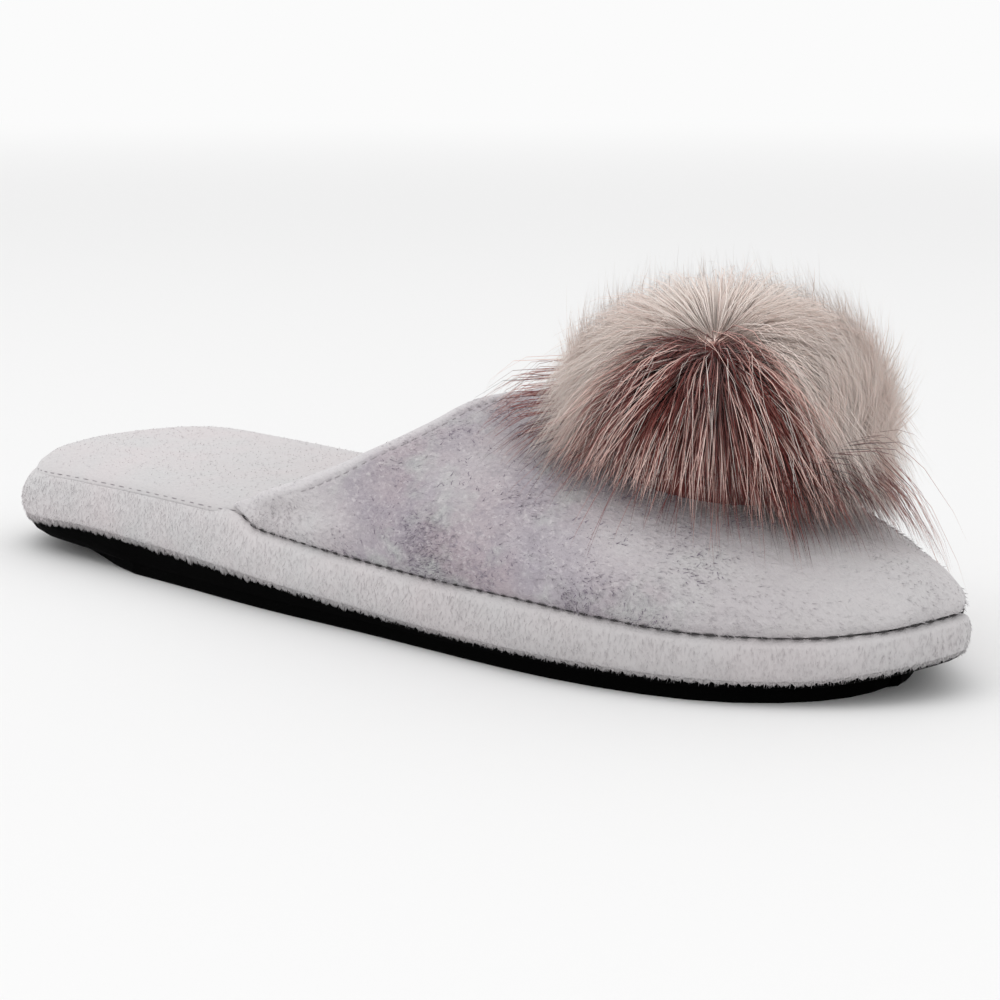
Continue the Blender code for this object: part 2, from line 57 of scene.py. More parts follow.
# shape of the slipper, in metres from the rearmost point of the heel; +X to the toe, +Y to the inner side
slipperForm = {
    "length": 0.262,
    "ballWidth": 0.090,
    "heelWidth": 0.066,
    "platformHeight": 0.0226,
    "instepHeight": 0.0487,
    "rimHeight": 0.0088,
    "rimInset": 0.0020,
    "heelFlat": 0.0560,  # the frame's origin, measured from the heel
    "wall": 0.0022,
    "seamInset": 0.0010,
    "insoleEdge": 0.0021,
    "insoleThickness": 0.0022,
    "insoleCrown": 0.0022,
    "heelRoll": 0.0048,
    "heelRollShare": 0.13,
    "outerCorner": 0.0970,
    "innerCorner": 0.1030,
    "cornerLength": 0.0110,
    "crestShift": 0.0020,
    "throat": 0.565,
    "toeDepth": 0.020,
    "hemWidth": 0.0032,
}

# share along the shoe, share of the ball's width over the heel's, half widths
outlineRows = [
    (0.02, 0.0, 0.270, 0.270),
    (0.07, 0.0, 0.444, 0.448),
    (0.14, 0.0, 0.492, 0.492),
    (0.22, 0.0, 0.510, 0.488),
    (0.32, 0.3, 0.497, 0.432),
    (0.42, 0.6, 0.488, 0.398),
    (0.52, 0.8, 0.476, 0.425),
    (0.62, 1.0, 0.473, 0.470),
    (0.71, 1.0, 0.488, 0.508),
    (0.79, 1.0, 0.474, 0.494),
    (0.87, 1.0, 0.413, 0.420),
    (0.94, 1.0, 0.284, 0.246),
    (0.98, 1.0, 0.160, 0.114),
]
# share along the shoe, rim, seam, foot bed
heightRows = [
    (0.00, 0.80, 0.900, 0.900),
    (0.07, 0.89, 0.960, 0.960),
    (0.15, 1.00, 1.000, 1.000),
    (0.22, 0.94, 0.960, 1.000),
    (0.30, 0.87, 0.900, 1.000),
    (0.38, 0.79, 0.835, 1.000),
    (0.45, 0.70, 0.778, 0.955),
    (0.52, 0.60, 0.722, 0.890),
    (0.60, 0.52, 0.690, 0.830),
    (0.70, 0.49, 0.678, 0.775),
    (0.78, 0.49, 0.640, 0.740),
    (0.86, 0.47, 0.592, 0.710),
    (0.92, 0.50, 0.588, 0.700),
    (0.96, 0.65, 0.625, 0.715),
    (1.00, 0.92, 0.720, 0.760),
]
# share along the shoe, rise of the crest, fullness of the arch
crestRows = [
    (0.34, 1.06, 2.2),
    (0.45, 1.04, 2.2),
    (0.55, 1.00, 2.2),
    (0.66, 0.86, 2.2),
    (0.77, 0.70, 2.15),
    (0.86, 0.54, 2.1),
    (0.93, 0.41, 2.0),
    (0.98, 0.23, 2.0),
    (1.00, 0.00, 2.0),
]
# place across the arch, where the topline lies along the shoe
toplineRows = [
    (0.00, 0.380),
    (0.02, 0.389),
    (0.06, 0.411),
    (0.12, 0.463),
    (0.19, 0.508),
    (0.27, 0.540),
    (0.36, 0.560),
    (0.50, 0.565),
    (0.64, 0.558),
    (0.73, 0.538),
    (0.81, 0.508),
    (0.88, 0.468),
    (0.94, 0.428),
    (1.00, 0.404),
]
# height of the insole's crown along the shoe
paddingRows = [(0.00, 1.85), (0.08, 1.85), (0.18, 1.45), (0.30, 1.05), (0.45, 0.90), (1.00, 0.70)]


def smoothStep(t):
    t = np.clip(t, 0.0, 1.0)
    return t * t * (3 - 2 * t)


def through(rows, column, at):  # a curve through a table's rows that never overshoots them
    table = np.array(rows, float)
    x, y = table[:, 0], table[:, column]
    step = np.diff(x)
    secant = np.diff(y) / step
    slope = np.zeros_like(y)
    same = secant[:-1] * secant[1:] > 0
    first, second = 2 * step[1:] + step[:-1], step[1:] + 2 * step[:-1]
    inner = np.zeros(len(x) - 2)
    inner[same] = (first + second)[same] / (first[same] / secant[:-1][same] + second[same] / secant[1:][same])
    slope[1:-1] = inner
    slope[0], slope[-1] = secant[0], secant[-1]
    at = np.clip(at, x[0], x[-1])
    i = np.clip(np.searchsorted(x, at, side="right") - 1, 0, len(x) - 2)
    h = step[i]
    t = (at - x[i]) / h
    low = (1 + 2 * t) * (1 - t) ** 2 * y[i] + t * (1 - t) ** 2 * h * slope[i]
    return low + t * t * (3 - 2 * t) * y[i + 1] + t * t * (t - 1) * h * slope[i + 1]


def closedSpline(angles, heights):
    count = len(angles)
    step = np.diff(np.append(angles, angles[0] + 2 * math.pi))
    matrix, right = np.zeros((count, count)), np.zeros(count)
    for i in range(count):
        after = (i + 1) % count
        matrix[i, i - 1] += step[i - 1]
        matrix[i, i] += 2 * (step[i - 1] + step[i])
        matrix[i, after] += step[i]
        right[i] = 6 * ((heights[after] - heights[i]) / step[i] - (heights[i] - heights[i - 1]) / step[i - 1])
    bend = np.linalg.solve(matrix, right)

    def at(angle):
        angle = np.mod(angle - angles[0], 2 * math.pi) + angles[0]
        i = np.clip(np.searchsorted(angles, angle, side="right") - 1, 0, count - 1)
        j = (i + 1) % count
        b = (angle - angles[i]) / step[i]
        a = 1 - b
        value = a * heights[i] + b * heights[j]
        value += ((a**3 - a) * bend[i] + (b**3 - b) * bend[j]) * step[i] ** 2 / 6
        slope = (heights[j] - heights[i]) / step[i]
        slope += ((3 * b * b - 1) * bend[j] - (3 * a * a - 1) * bend[i]) * step[i] / 6
        return value, slope

    return at


def makeOutline():
    along, ball, outer, inner = np.array(outlineRows).T
    width = slipperForm["heelWidth"] + ball * (slipperForm["ballWidth"] - slipperForm["heelWidth"])
    turn = np.arccos(1 - 2 * along)
    angles = np.concatenate([[0], turn, [math.pi], 2 * math.pi - turn[::-1]])
    return closedSpline(angles, np.concatenate([[0], -width * outer, [0], (width * inner)[::-1]]))


outline = makeOutline()


def outlinePoints(angle, inset):
    y, slope = outline(angle)
    x = slipperForm["length"] * (1 - np.cos(angle)) / 2
    tangent = np.stack([slipperForm["length"] * np.sin(angle) / 2, slope], -1)
    tangent /= np.linalg.norm(tangent, axis=-1, keepdims=True)
    return x - inset * tangent[:, 1], y + inset * tangent[:, 0]


def rimTop(along):
    return slipperForm["rimHeight"] * through(heightRows, 1, along)


def seamHeight(along):
    return slipperForm["platformHeight"] * through(heightRows, 2, along)


def bedHeight(along):
    return slipperForm["platformHeight"] * through(heightRows, 3, along)


def underUpper(along, side):
    corner = np.where(side < 0, slipperForm["outerCorner"], slipperForm["innerCorner"])
    return smoothStep((along * slipperForm["length"] - corner) / slipperForm["cornerLength"])


def bandTop(along, side):
    share = underUpper(along, side)
    return bedHeight(along) * (1 - share) + seamHeight(along) * share


def heelRoll(along):
    return slipperForm["heelRoll"] * (1 - smoothStep(along / slipperForm["heelRollShare"]))


def insoleInset(along, side):
    share = underUpper(along + slipperForm["cornerLength"] / slipperForm["length"] / 2, side)
    inside = slipperForm["seamInset"] + slipperForm["wall"] + 0.0009 + 0.0012 * smoothStep((along - 0.85) / 0.15)
    return heelRoll(along) + slipperForm["insoleEdge"] * (1 - share) + inside * share


def sideCurves(inset):
    angle = np.linspace(0, math.pi, 901)
    return outlinePoints(angle, inset), outlinePoints(2 * math.pi - angle, inset)


def crestHeight(along):
    tip = 1 - slipperForm["seamInset"] / slipperForm["length"]
    turn = np.arccos(np.clip(1 - 2 * along / tip, -1, 1))
    rows = [(math.acos(1 - 2 * row[0]), row[1]) for row in crestRows]
    throat = slipperForm["instepHeight"] - seamHeight(slipperForm["throat"])
    return seamHeight(along) + throat * through(rows, 1, turn)


# One arch of the vamp, from the outer seam (across 0) over the crest (0.5) to the inner seam (1)
def arch(along, across, depth, curves):
    (outerX, outerY), (innerX, innerY) = curves
    x = along * slipperForm["length"]
    nearTip = np.clip((outerX[-1] - x) / slipperForm["toeDepth"], 0, 1)
    side = np.where(across < 0.5, -1.0, 1.0)
    base = bandTop(along, side) + 0.0003
    crest = crestHeight(np.clip(along + depth / slipperForm["length"], 0, 1)) - depth * nearTip
    rise = np.maximum(crest - base, 0)
    centre = slipperForm["crestShift"] * np.clip((1 - along) / (1 - slipperForm["throat"]), 0, 1)
    reach = np.where(side < 0, centre - np.interp(x, outerX, outerY), np.interp(x, innerX, innerY) - centre)
    power = 2 / through(crestRows, 2, along)
    flat, up = np.cos(across * math.pi), np.clip(np.sin(across * math.pi), 0, 1)
    return np.stack([x, centre + side * np.abs(flat) ** power * reach, base + rise * up**power], -1)


def vampHeight(x, y):  # top of the vamp over a point of the plan, for laying the fur on it
    (outerX, outerY), (innerX, innerY) = vampCurves
    along = x / slipperForm["length"]
    side = np.where(y < 0, -1.0, 1.0)
    centre = slipperForm["crestShift"] * np.clip((1 - along) / (1 - slipperForm["throat"]), 0, 1)
    reach = np.where(y < centre, centre - np.interp(x, outerX, outerY), np.interp(x, innerX, innerY) - centre)
    base = bandTop(along, side)
    power = 2 / through(crestRows, 2, along)
    flat = np.clip(np.abs(y - centre) / np.maximum(reach, 1e-4), 0, 1) ** (1 / power)
    over = base + np.maximum(crestHeight(np.clip(along, 0, 1)) - base, 0) * np.sqrt(1 - flat**2) ** power
    beyond = (np.abs(y - centre) > reach) | (x > outerX[-1])
    return np.where(beyond, 0.004, over)


vampCurves = sideCurves(slipperForm["seamInset"])


def unit(v):
    return v / np.maximum(np.linalg.norm(v, axis=-1, keepdims=True), 1e-9)


# mesh helpers
def toFrame(points):
    return np.asarray(points, float) - np.array([slipperForm["heelFlat"], 0, 0])


def newPiece(name, points, faces, values=None, turn=True):
    mesh = bpy.data.meshes.new(name)
    mesh.from_pydata([tuple(p) for p in toFrame(points)], [], faces)
    for key, data in (values or {}).items():
        kind = "FLOAT_VECTOR" if np.ndim(data) == 2 else "FLOAT"
        layer = mesh.attributes.new(key, kind, "POINT")
        layer.data.foreach_set("vector" if kind == "FLOAT_VECTOR" else "value", np.asarray(data, np.float32).ravel())
    if turn:
        work = bmesh.new()
        work.from_mesh(mesh)
        bmesh.ops.recalc_face_normals(work, faces=work.faces)
        work.to_mesh(mesh)
        work.free()
    mesh.shade_smooth()
    piece = bpy.data.objects.new(name, mesh)
    bpy.context.scene.collection.objects.link(piece)
    return piece


def gridFaces(rows, columns, start=0, closed=False):
    faces = []
    for i in range(rows - 1):
        for j in range(columns if closed else columns - 1):
            k = (j + 1) % columns
            a, b = start + i * columns, start + (i + 1) * columns
            faces.append((a + j, a + k, b + k, b + j))
    return faces


# Rings round the shoe, closed at the bottom by strips and at the top by a bed of quads between abreast points
def stackRings(rings, bedSteps):
    count = len(rings[0])
    points = np.concatenate(rings)
    faces = gridFaces(len(rings), count, closed=True)
    half = count // 2
    for i in range(half):
        corners = [i, i + 1, count - i - 1, (count - i) % count]
        faces.append(tuple(v for k, v in enumerate(corners) if v not in corners[:k]))
    top = (len(rings) - 1) * count
    ids, extra = [], []
    for i in range(1, half):
        a, b = rings[-1][i], rings[-1][count - i]
        row = [top + i]
        for k in range(1, bedSteps):
            row.append(len(points) + len(extra))
            extra.append(a + (b - a) * k / bedSteps)
        row.append(top + count - i)
        ids.append(row)
    for one, two in zip(ids, ids[1:]):
        faces += [(one[k], one[k + 1], two[k + 1], two[k]) for k in range(bedSteps)]
    for end, row in ((top, ids[0]), (top + half, ids[-1])):
        faces += [(end, row[k], row[k + 1]) for k in range(bedSteps)]
    return np.concatenate([points, np.array(extra)]), faces


def addNode(tree, kind, **settings):
    node = tree.nodes.new(kind)
    for key, value in settings.items():
        setattr(node, key, value)
    return node


# Geometry Nodes trees
def newTree(name, inputs):
    tree = bpy.data.node_groups.new(name, "GeometryNodeTree")
    tree.interface.new_socket("Geometry", in_out="INPUT", socket_type="NodeSocketGeometry")
    for label, kind in inputs.items():
        tree.interface.new_socket(label, in_out="INPUT", socket_type="NodeSocket" + kind)
    tree.interface.new_socket("Geometry", in_out="OUTPUT", socket_type="NodeSocketGeometry")
    return tree, addNode(tree, "NodeGroupInput"), addNode(tree, "NodeGroupOutput")


def named(tree, label, kind="FLOAT"):
    node = addNode(tree, "GeometryNodeInputNamedAttribute", data_type=kind)
    node.inputs["Name"].default_value = label
    return node.outputs["Attribute"]


def vectorMath(tree, operation, first, second=None, scale=None):
    node = addNode(tree, "ShaderNodeVectorMath", operation=operation)
    for slot, value in ((0, first), (1, second)):
        if value is None:
            continue
        if isinstance(value, tuple):
            node.inputs[slot].default_value = value
        else:
            tree.links.new(value, node.inputs[slot])
    if scale is not None:
        if isinstance(scale, float):
            node.inputs["Scale"].default_value = scale
        else:
            tree.links.new(scale, node.inputs["Scale"])
    return node.outputs["Vector"]


def furTree():
    tree, given, result = newTree("furStrands", {"Strand": "Object", "Width": "Float", "Material": "Material"})
    link = tree.links.new
    strand = addNode(tree, "GeometryNodeObjectInfo")
    link(given.outputs["Strand"], strand.inputs["Object"])
    turn = addNode(tree, "FunctionNodeAlignRotationToVector", axis="Z")
    link(named(tree, "heading", "FLOAT_VECTOR"), turn.inputs["Vector"])
    wide = addNode(tree, "ShaderNodeMath", operation="MULTIPLY")
    link(given.outputs["Width"], wide.inputs[0])
    link(named(tree, "thick"), wide.inputs[1])
    size = addNode(tree, "ShaderNodeCombineXYZ")
    link(wide.outputs[0], size.inputs["X"])
    link(wide.outputs[0], size.inputs["Y"])
    link(named(tree, "reach"), size.inputs["Z"])
    place = addNode(tree, "GeometryNodeInstanceOnPoints")
    link(given.outputs["Geometry"], place.inputs["Points"])
    link(strand.outputs["Geometry"], place.inputs["Instance"])
    link(turn.outputs["Rotation"], place.inputs["Rotation"])
    link(size.outputs["Vector"], place.inputs["Scale"])
    real = addNode(tree, "GeometryNodeRealizeInstances")
    link(place.outputs["Instances"], real.inputs["Geometry"])
    square = addNode(tree, "ShaderNodeMath", operation="MULTIPLY")
    along = named(tree, "along")
    link(along, square.inputs[0])
    link(along, square.inputs[1])
    move = addNode(tree, "GeometryNodeSetPosition")
    link(real.outputs["Geometry"], move.inputs["Geometry"])
    link(vectorMath(tree, "SCALE", named(tree, "bend", "FLOAT_VECTOR"), scale=square.outputs[0]), move.inputs["Offset"])
    paint = addNode(tree, "GeometryNodeSetMaterial")
    link(move.outputs["Geometry"], paint.inputs["Geometry"])
    link(given.outputs["Material"], paint.inputs["Material"])
    link(paint.outputs["Geometry"], result.inputs["Geometry"])
    return tree


def napTree():
    inputs = {"Fibre": "Object", "Density": "Float", "Length": "Float", "Upright": "Float", "Stray": "Float"}
    tree, given, result = newTree("napFibres", {**inputs, "Seed": "Int", "Material": "Material"})
    link = tree.links.new
    dense = addNode(tree, "ShaderNodeMath", operation="MULTIPLY")
    link(given.outputs["Density"], dense.inputs[0])
    link(named(tree, "napMask"), dense.inputs[1])
    spread = addNode(tree, "GeometryNodeDistributePointsOnFaces")
    link(given.outputs["Geometry"], spread.inputs["Mesh"])
    link(dense.outputs[0], spread.inputs["Density"])
    link(given.outputs["Seed"], spread.inputs["Seed"])
    stray = addNode(tree, "FunctionNodeRandomValue", data_type="FLOAT_VECTOR")
    stray.inputs["Min"].default_value = (-1, -1, -1)
    stray.inputs["Max"].default_value = (1, 1, 1)
    link(given.outputs["Seed"], stray.inputs["Seed"])
    up = vectorMath(tree, "SCALE", spread.outputs["Normal"], scale=given.outputs["Upright"])
    loose = vectorMath(tree, "SCALE", stray.outputs["Value"], scale=given.outputs["Stray"])
    way = vectorMath(tree, "ADD", vectorMath(tree, "ADD", up, loose), named(tree, "lay", "FLOAT_VECTOR"))
    turn = addNode(tree, "FunctionNodeAlignRotationToVector", axis="Z")
    link(way, turn.inputs["Vector"])
    size = addNode(tree, "FunctionNodeRandomValue", data_type="FLOAT")
    size.inputs[2].default_value = 0.55
    size.inputs[3].default_value = 1.3
    link(given.outputs["Seed"], size.inputs["Seed"])
    long = addNode(tree, "ShaderNodeMath", operation="MULTIPLY")
    link(size.outputs[1], long.inputs[0])
    link(given.outputs["Length"], long.inputs[1])
    scale = addNode(tree, "ShaderNodeCombineXYZ")
    scale.inputs["X"].default_value = scale.inputs["Y"].default_value = 1
    link(long.outputs[0], scale.inputs["Z"])
    fibre = addNode(tree, "GeometryNodeObjectInfo")
    link(given.outputs["Fibre"], fibre.inputs["Object"])
    place = addNode(tree, "GeometryNodeInstanceOnPoints")
    link(spread.outputs["Points"], place.inputs["Points"])
    link(fibre.outputs["Geometry"], place.inputs["Instance"])
    link(turn.outputs["Rotation"], place.inputs["Rotation"])
    link(scale.outputs["Vector"], place.inputs["Scale"])
    own = addNode(tree, "FunctionNodeRandomValue", data_type="FLOAT")
    own.inputs[2].default_value = -1.0
    link(given.outputs["Seed"], own.inputs["Seed"])
    keep = addNode(tree, "GeometryNodeStoreNamedAttribute", data_type="FLOAT", domain="INSTANCE")
    keep.inputs["Name"].default_value = "fibreTone"
    link(place.outputs["Instances"], keep.inputs["Geometry"])
    link(own.outputs[1], keep.inputs["Value"])
    real = addNode(tree, "GeometryNodeRealizeInstances")
    link(keep.outputs["Geometry"], real.inputs["Geometry"])
    paint = addNode(tree, "GeometryNodeSetMaterial")
    link(real.outputs["Geometry"], paint.inputs["Geometry"])
    link(given.outputs["Material"], paint.inputs["Material"])
    link(paint.outputs["Geometry"], result.inputs["Geometry"])
    return tree


def stitchTree():
    inputs = {"Stitch": "Object", "Pitch": "Float", "Length": "Float", "Thread": "Float", "Material": "Material"}
    tree, given, result = newTree("seamStitches", inputs)
    link = tree.links.new
    curve = addNode(tree, "GeometryNodeMeshToCurve")
    link(given.outputs["Geometry"], curve.inputs["Mesh"])
    even = addNode(tree, "GeometryNodeResampleCurve", mode="LENGTH")
    link(curve.outputs["Curve"], even.inputs["Curve"])
    link(given.outputs["Pitch"], even.inputs["Length"])
    turn = addNode(tree, "FunctionNodeAlignRotationToVector", axis="X")
    tangent = addNode(tree, "GeometryNodeInputTangent")
    link(tangent.outputs["Tangent"], turn.inputs["Vector"])
    face = addNode(tree, "FunctionNodeAlignRotationToVector", axis="Z", pivot_axis="X")
    link(turn.outputs["Rotation"], face.inputs["Rotation"])
    link(named(tree, "facing", "FLOAT_VECTOR"), face.inputs["Vector"])
    size = addNode(tree, "ShaderNodeCombineXYZ")
    link(given.outputs["Length"], size.inputs["X"])
    link(given.outputs["Thread"], size.inputs["Y"])
    link(given.outputs["Thread"], size.inputs["Z"])
    stitch = addNode(tree, "GeometryNodeObjectInfo")
    link(given.outputs["Stitch"], stitch.inputs["Object"])
    uneven = addNode(tree, "FunctionNodeRandomValue", data_type="FLOAT_VECTOR")
    uneven.inputs["Min"].default_value = (0.55, 0.70, 0.70)
    uneven.inputs["Max"].default_value = (1.10, 1.20, 1.20)
    spread = vectorMath(tree, "MULTIPLY", size.outputs["Vector"], uneven.outputs["Value"])
    place = addNode(tree, "GeometryNodeInstanceOnPoints")
    link(even.outputs["Curve"], place.inputs["Points"])
    link(stitch.outputs["Geometry"], place.inputs["Instance"])
    link(face.outputs["Rotation"], place.inputs["Rotation"])
    link(spread, place.inputs["Scale"])
    real = addNode(tree, "GeometryNodeRealizeInstances")
    link(place.outputs["Instances"], real.inputs["Geometry"])
    smooth = addNode(tree, "GeometryNodeSetShadeSmooth")
    link(real.outputs["Geometry"], smooth.inputs["Geometry"])
    paint = addNode(tree, "GeometryNodeSetMaterial")
    link(smooth.outputs["Geometry"], paint.inputs["Geometry"])
    link(given.outputs["Material"], paint.inputs["Material"])
    link(paint.outputs["Geometry"], result.inputs["Geometry"])
    return tree


def growBy(piece, tree, settings):  # the tree's result, kept as a plain mesh
    modifier = piece.modifiers.new(tree.name, "NODES")
    modifier.node_group = tree
    for item in tree.interface.items_tree:
        if item.in_out == "INPUT" and item.name in settings:
            modifier[item.identifier] = settings[item.name]
    graph = bpy.context.evaluated_depsgraph_get()
    mesh = bpy.data.meshes.new_from_object(piece.evaluated_get(graph), preserve_all_data_layers=True, depsgraph=graph)
    piece.modifiers.remove(modifier)
    piece.data = mesh
    return piece


# materials
def mixColour(tree, factor, first, second, blend="MIX"):
    node = addNode(tree, "ShaderNodeMix", data_type="RGBA", blend_type=blend)
    for slot, value in ((0, factor), (6, first), (7, second)):
        if isinstance(value, (int, float)):
            node.inputs[slot].default_value = value
        elif isinstance(value, tuple):
            node.inputs[slot].default_value = (*value, 1)
        else:
            tree.links.new(value, node.inputs[slot])
    return node.outputs[2]


def remap(tree, value, low, high, toLow=0.0, toHigh=1.0):
    node = addNode(tree, "ShaderNodeMapRange")
    node.inputs["From Min"].default_value = low
    node.inputs["From Max"].default_value = high
    node.inputs["To Min"].default_value = toLow
    node.inputs["To Max"].default_value = toHigh
    tree.links.new(value, node.inputs["Value"])
    return node.outputs["Result"]


def noise(tree, coordinates, scale, detail=2.0, rough=0.5, stretch=None):
    if stretch:
        mapping = addNode(tree, "ShaderNodeMapping")
        mapping.inputs["Scale"].default_value = stretch
        tree.links.new(coordinates, mapping.inputs["Vector"])
        coordinates = mapping.outputs["Vector"]
    node = addNode(tree, "ShaderNodeTexNoise")
    node.inputs["Scale"].default_value = scale
    node.inputs["Detail"].default_value = detail
    node.inputs["Roughness"].default_value = rough
    tree.links.new(coordinates, node.inputs["Vector"])
    return node.outputs["Fac"]


def newMaterial(name):
    material = bpy.data.materials.new(name)
    material.use_nodes = True
    tree = material.node_tree
    coordinates = addNode(tree, "ShaderNodeTexCoord").outputs["Object"]
    return material, tree, tree.nodes["Principled BSDF"], coordinates


def attribute(tree, label):
    return addNode(tree, "ShaderNodeAttribute", attribute_name=label).outputs["Fac"]


def bump(tree, shader, height, distance, strength, before=None):
    node = addNode(tree, "ShaderNodeBump")
    node.inputs["Distance"].default_value = distance
    node.inputs["Strength"].default_value = strength
    tree.links.new(height, node.inputs["Height"])
    if before:
        tree.links.new(before, node.inputs["Normal"])
    tree.links.new(node.outputs["Normal"], shader.inputs["Normal"])
    return node.outputs["Normal"]


plushLooks = {
    "pile": (0.640, 0.605, 0.615),  # pale grey pile
    "warm": (0.640, 0.585, 0.590),
    "cool": (0.575, 0.590, 0.590),
    "crushed": (0.320, 0.285, 0.335),  # lilac where the nap is crushed on the vamp
    "pink": (0.385, 0.320, 0.355),
    "mist": (0.420, 0.425, 0.425),
    # deep: painted shade for the hollows of the tufts and curls
    "deep": (0.200, 0.170, 0.215),
    # hem: painted highlight along the folded hem and its roll, also laid paler over the vamp's inner face
    "hem": (0.700, 0.675, 0.690),
    # painted shade towards the toe and under the vamp, mixed in by the per-point shade attribute
    "toe": (0.455, 0.435, 0.440),
    "broadScale": 26.0,
    "curlScale": 560.0,
    "shadow": (0.250, 0.225, 0.260),
    "patchScale": 42.0,
    "tuftScale": 330.0,
    "fibreScale": 1500.0,
    "sheen": 0.35,
}


# Plush whose nap is mottled in patches; "crush" turns it lilac, pink and grey, and "hem" lightens the folded edge with
# a painted highlight. Painted shade darkens the hollows of the tufts, curls and fibres, and the piece towards the toe;
# painted highlight lightens the tops of the curls and fibres
def plushMaterial(name, crushed, streaked, contrast):
    material, tree, shader, where = newMaterial(name)
    patch = noise(tree, where, plushLooks["patchScale"], 3.0, 0.55)
    tuft = noise(tree, where, plushLooks["tuftScale"], 3.0, 0.6, (1.0, 1.0, 0.45) if streaked else (0.7, 1.0, 1.0))
    fibre = noise(tree, where, plushLooks["fibreScale"], 2.0, 0.6, (1.0, 1.0, 0.22) if streaked else (0.5, 1.0, 0.8))
    colour = mixColour(tree, remap(tree, patch, 0.35, 0.65), plushLooks["warm"], plushLooks["cool"])
    colour = mixColour(tree, 0.55, colour, plushLooks["pile"])
    # fleck and light set how much painted shade and painted highlight the fibre noise gives
    fleck, light = contrast * 0.4, contrast * 0.6
    if crushed:
        broad = noise(tree, where, plushLooks["broadScale"], 4.0, 0.6)
        other = noise(tree, where, plushLooks["patchScale"] * 1.7, 3.0, 0.6, (1.0, 1.0, 1.3))
        tone = mixColour(tree, remap(tree, patch, 0.40, 0.60), plushLooks["crushed"], plushLooks["pink"])
        tone = mixColour(tree, remap(tree, other, 0.50, 0.66), tone, plushLooks["mist"])
        # painted shade in the hollows of the tuft bump and of the curls, and painted highlight on the curls' tops
        tone = mixColour(tree, remap(tree, tuft, 0.52, 0.34, 0.0, 0.35), tone, plushLooks["deep"])
        curl = noise(tree, where, plushLooks["curlScale"], 3.0, 0.7, (0.8, 1.0, 1.0))
        curl.node.inputs["Distortion"].default_value = 1.6
        tone = mixColour(tree, remap(tree, curl, 0.45, 0.36, 0.0, 0.60), tone, plushLooks["deep"])
        tone = mixColour(tree, remap(tree, curl, 0.56, 0.66, 0.0, 0.45), tone, plushLooks["pile"])
        add = addNode(tree, "ShaderNodeMath", operation="ADD", use_clamp=True)
        tree.links.new(attribute(tree, "crush"), add.inputs[0])
        tree.links.new(remap(tree, broad, 0.36, 0.64, -0.22, 0.10), add.inputs[1])
        colour = mixColour(tree, add.outputs[0], colour, tone)
        # painted highlight along the folded hem
        colour = mixColour(tree, attribute(tree, "hem"), colour, plushLooks["hem"])
        fleck, light = 0.22, 0.24
    # painted shade in the low spots and painted highlight on the raised spots of the fibre bump
    colour = mixColour(tree, remap(tree, fibre, 0.44, 0.30, 0.0, fleck), colour, plushLooks["shadow"])
    colour = mixColour(tree, remap(tree, fibre, 0.58, 0.72, 0.0, light), colour, (0.80, 0.77, 0.79))
    # painted shade towards the toe, and towards and under the vamp on the insole
    colour = mixColour(tree, remap(tree, attribute(tree, "paintedShade"), 0.0, 1.0, 0.0, 0.55), colour, plushLooks["toe"])
    own = attribute(tree, "fibreTone")
    colour = mixColour(tree, remap(tree, own, 0.15, 1.0, 0.0, contrast), colour, plushLooks["shadow"])
    colour = mixColour(tree, remap(tree, own, -0.15, -1.0, 0.0, contrast * 0.8), colour, (0.82, 0.80, 0.82))
    tree.links.new(colour, shader.inputs["Base Color"])
    shader.inputs["Roughness"].default_value = 0.92
    shader.inputs["Specular IOR Level"].default_value = 0.2
    shader.inputs["Sheen Weight"].default_value = plushLooks["sheen"]
    shader.inputs["Sheen Roughness"].default_value = 0.45
    first = bump(tree, shader, tuft, 0.0011, 0.9 if crushed else 0.14)
    bump(tree, shader, fibre, 0.0005, 0.6, first)
    return material


def rubberMaterial():
    material, tree, shader, where = newMaterial("blackRubber")
    grain = noise(tree, where, 2600.0, 2.0, 0.6)
    dust = noise(tree, where, 60.0, 4.0, 0.6)
    colour = mixColour(tree, remap(tree, dust, 0.45, 0.75, 0.0, 0.35), (0.0006, 0.0006, 0.0006), (0.0018, 0.0017, 0.0017))
    tree.links.new(colour, shader.inputs["Base Color"])
    tree.links.new(remap(tree, dust, 0.3, 0.7, 0.70, 0.85), shader.inputs["Roughness"])
    shader.inputs["Specular IOR Level"].default_value = 0.02
    bump(tree, shader, grain, 0.0002, 0.35)
    return material


furLooks = {
    "pale": (0.930, 0.855, 0.800),
    "blush": (0.800, 0.520, 0.455),
    "rust": (0.235, 0.040, 0.030),
    "dark": (0.026, 0.010, 0.009),
}


def furMaterial(name, looks):
    material, tree, shader, where = newMaterial(name)
    tint, along = attribute(tree, "tint"), attribute(tree, "along")
    colour = mixColour(tree, remap(tree, tint, 0.0, 0.34), looks["pale"], looks["blush"])
    colour = mixColour(tree, remap(tree, tint, 0.34, 0.68), colour, looks["rust"])
    colour = mixColour(tree, remap(tree, tint, 0.68, 1.0), colour, looks["dark"])
    rooted = addNode(tree, "ShaderNodeMath", operation="MULTIPLY", use_clamp=True)
    tree.links.new(remap(tree, along, 0.0, 0.55, 0.85, 0.0), rooted.inputs[0])
    tree.links.new(attribute(tree, "rootTint"), rooted.inputs[1])
    colour = mixColour(tree, rooted.outputs[0], colour, looks["rust"])
    tree.links.new(colour, shader.inputs["Base Color"])
    shader.inputs["Roughness"].default_value = 0.5
    shader.inputs["Specular IOR Level"].default_value = 0.3
    shader.inputs["Sheen Weight"].default_value = 0.2
    return material


def threadMaterial(name, colour, roughness=0.8):
    material, tree, shader, where = newMaterial(name)
    twist = noise(tree, where, 3000.0, 1.0)
    tree.links.new(mixColour(tree, twist, colour, tuple(c * 0.6 for c in colour)), shader.inputs["Base Color"])
    shader.inputs["Roughness"].default_value = roughness
    bump(tree, shader, twist, 0.0002, 0.5)
    return material


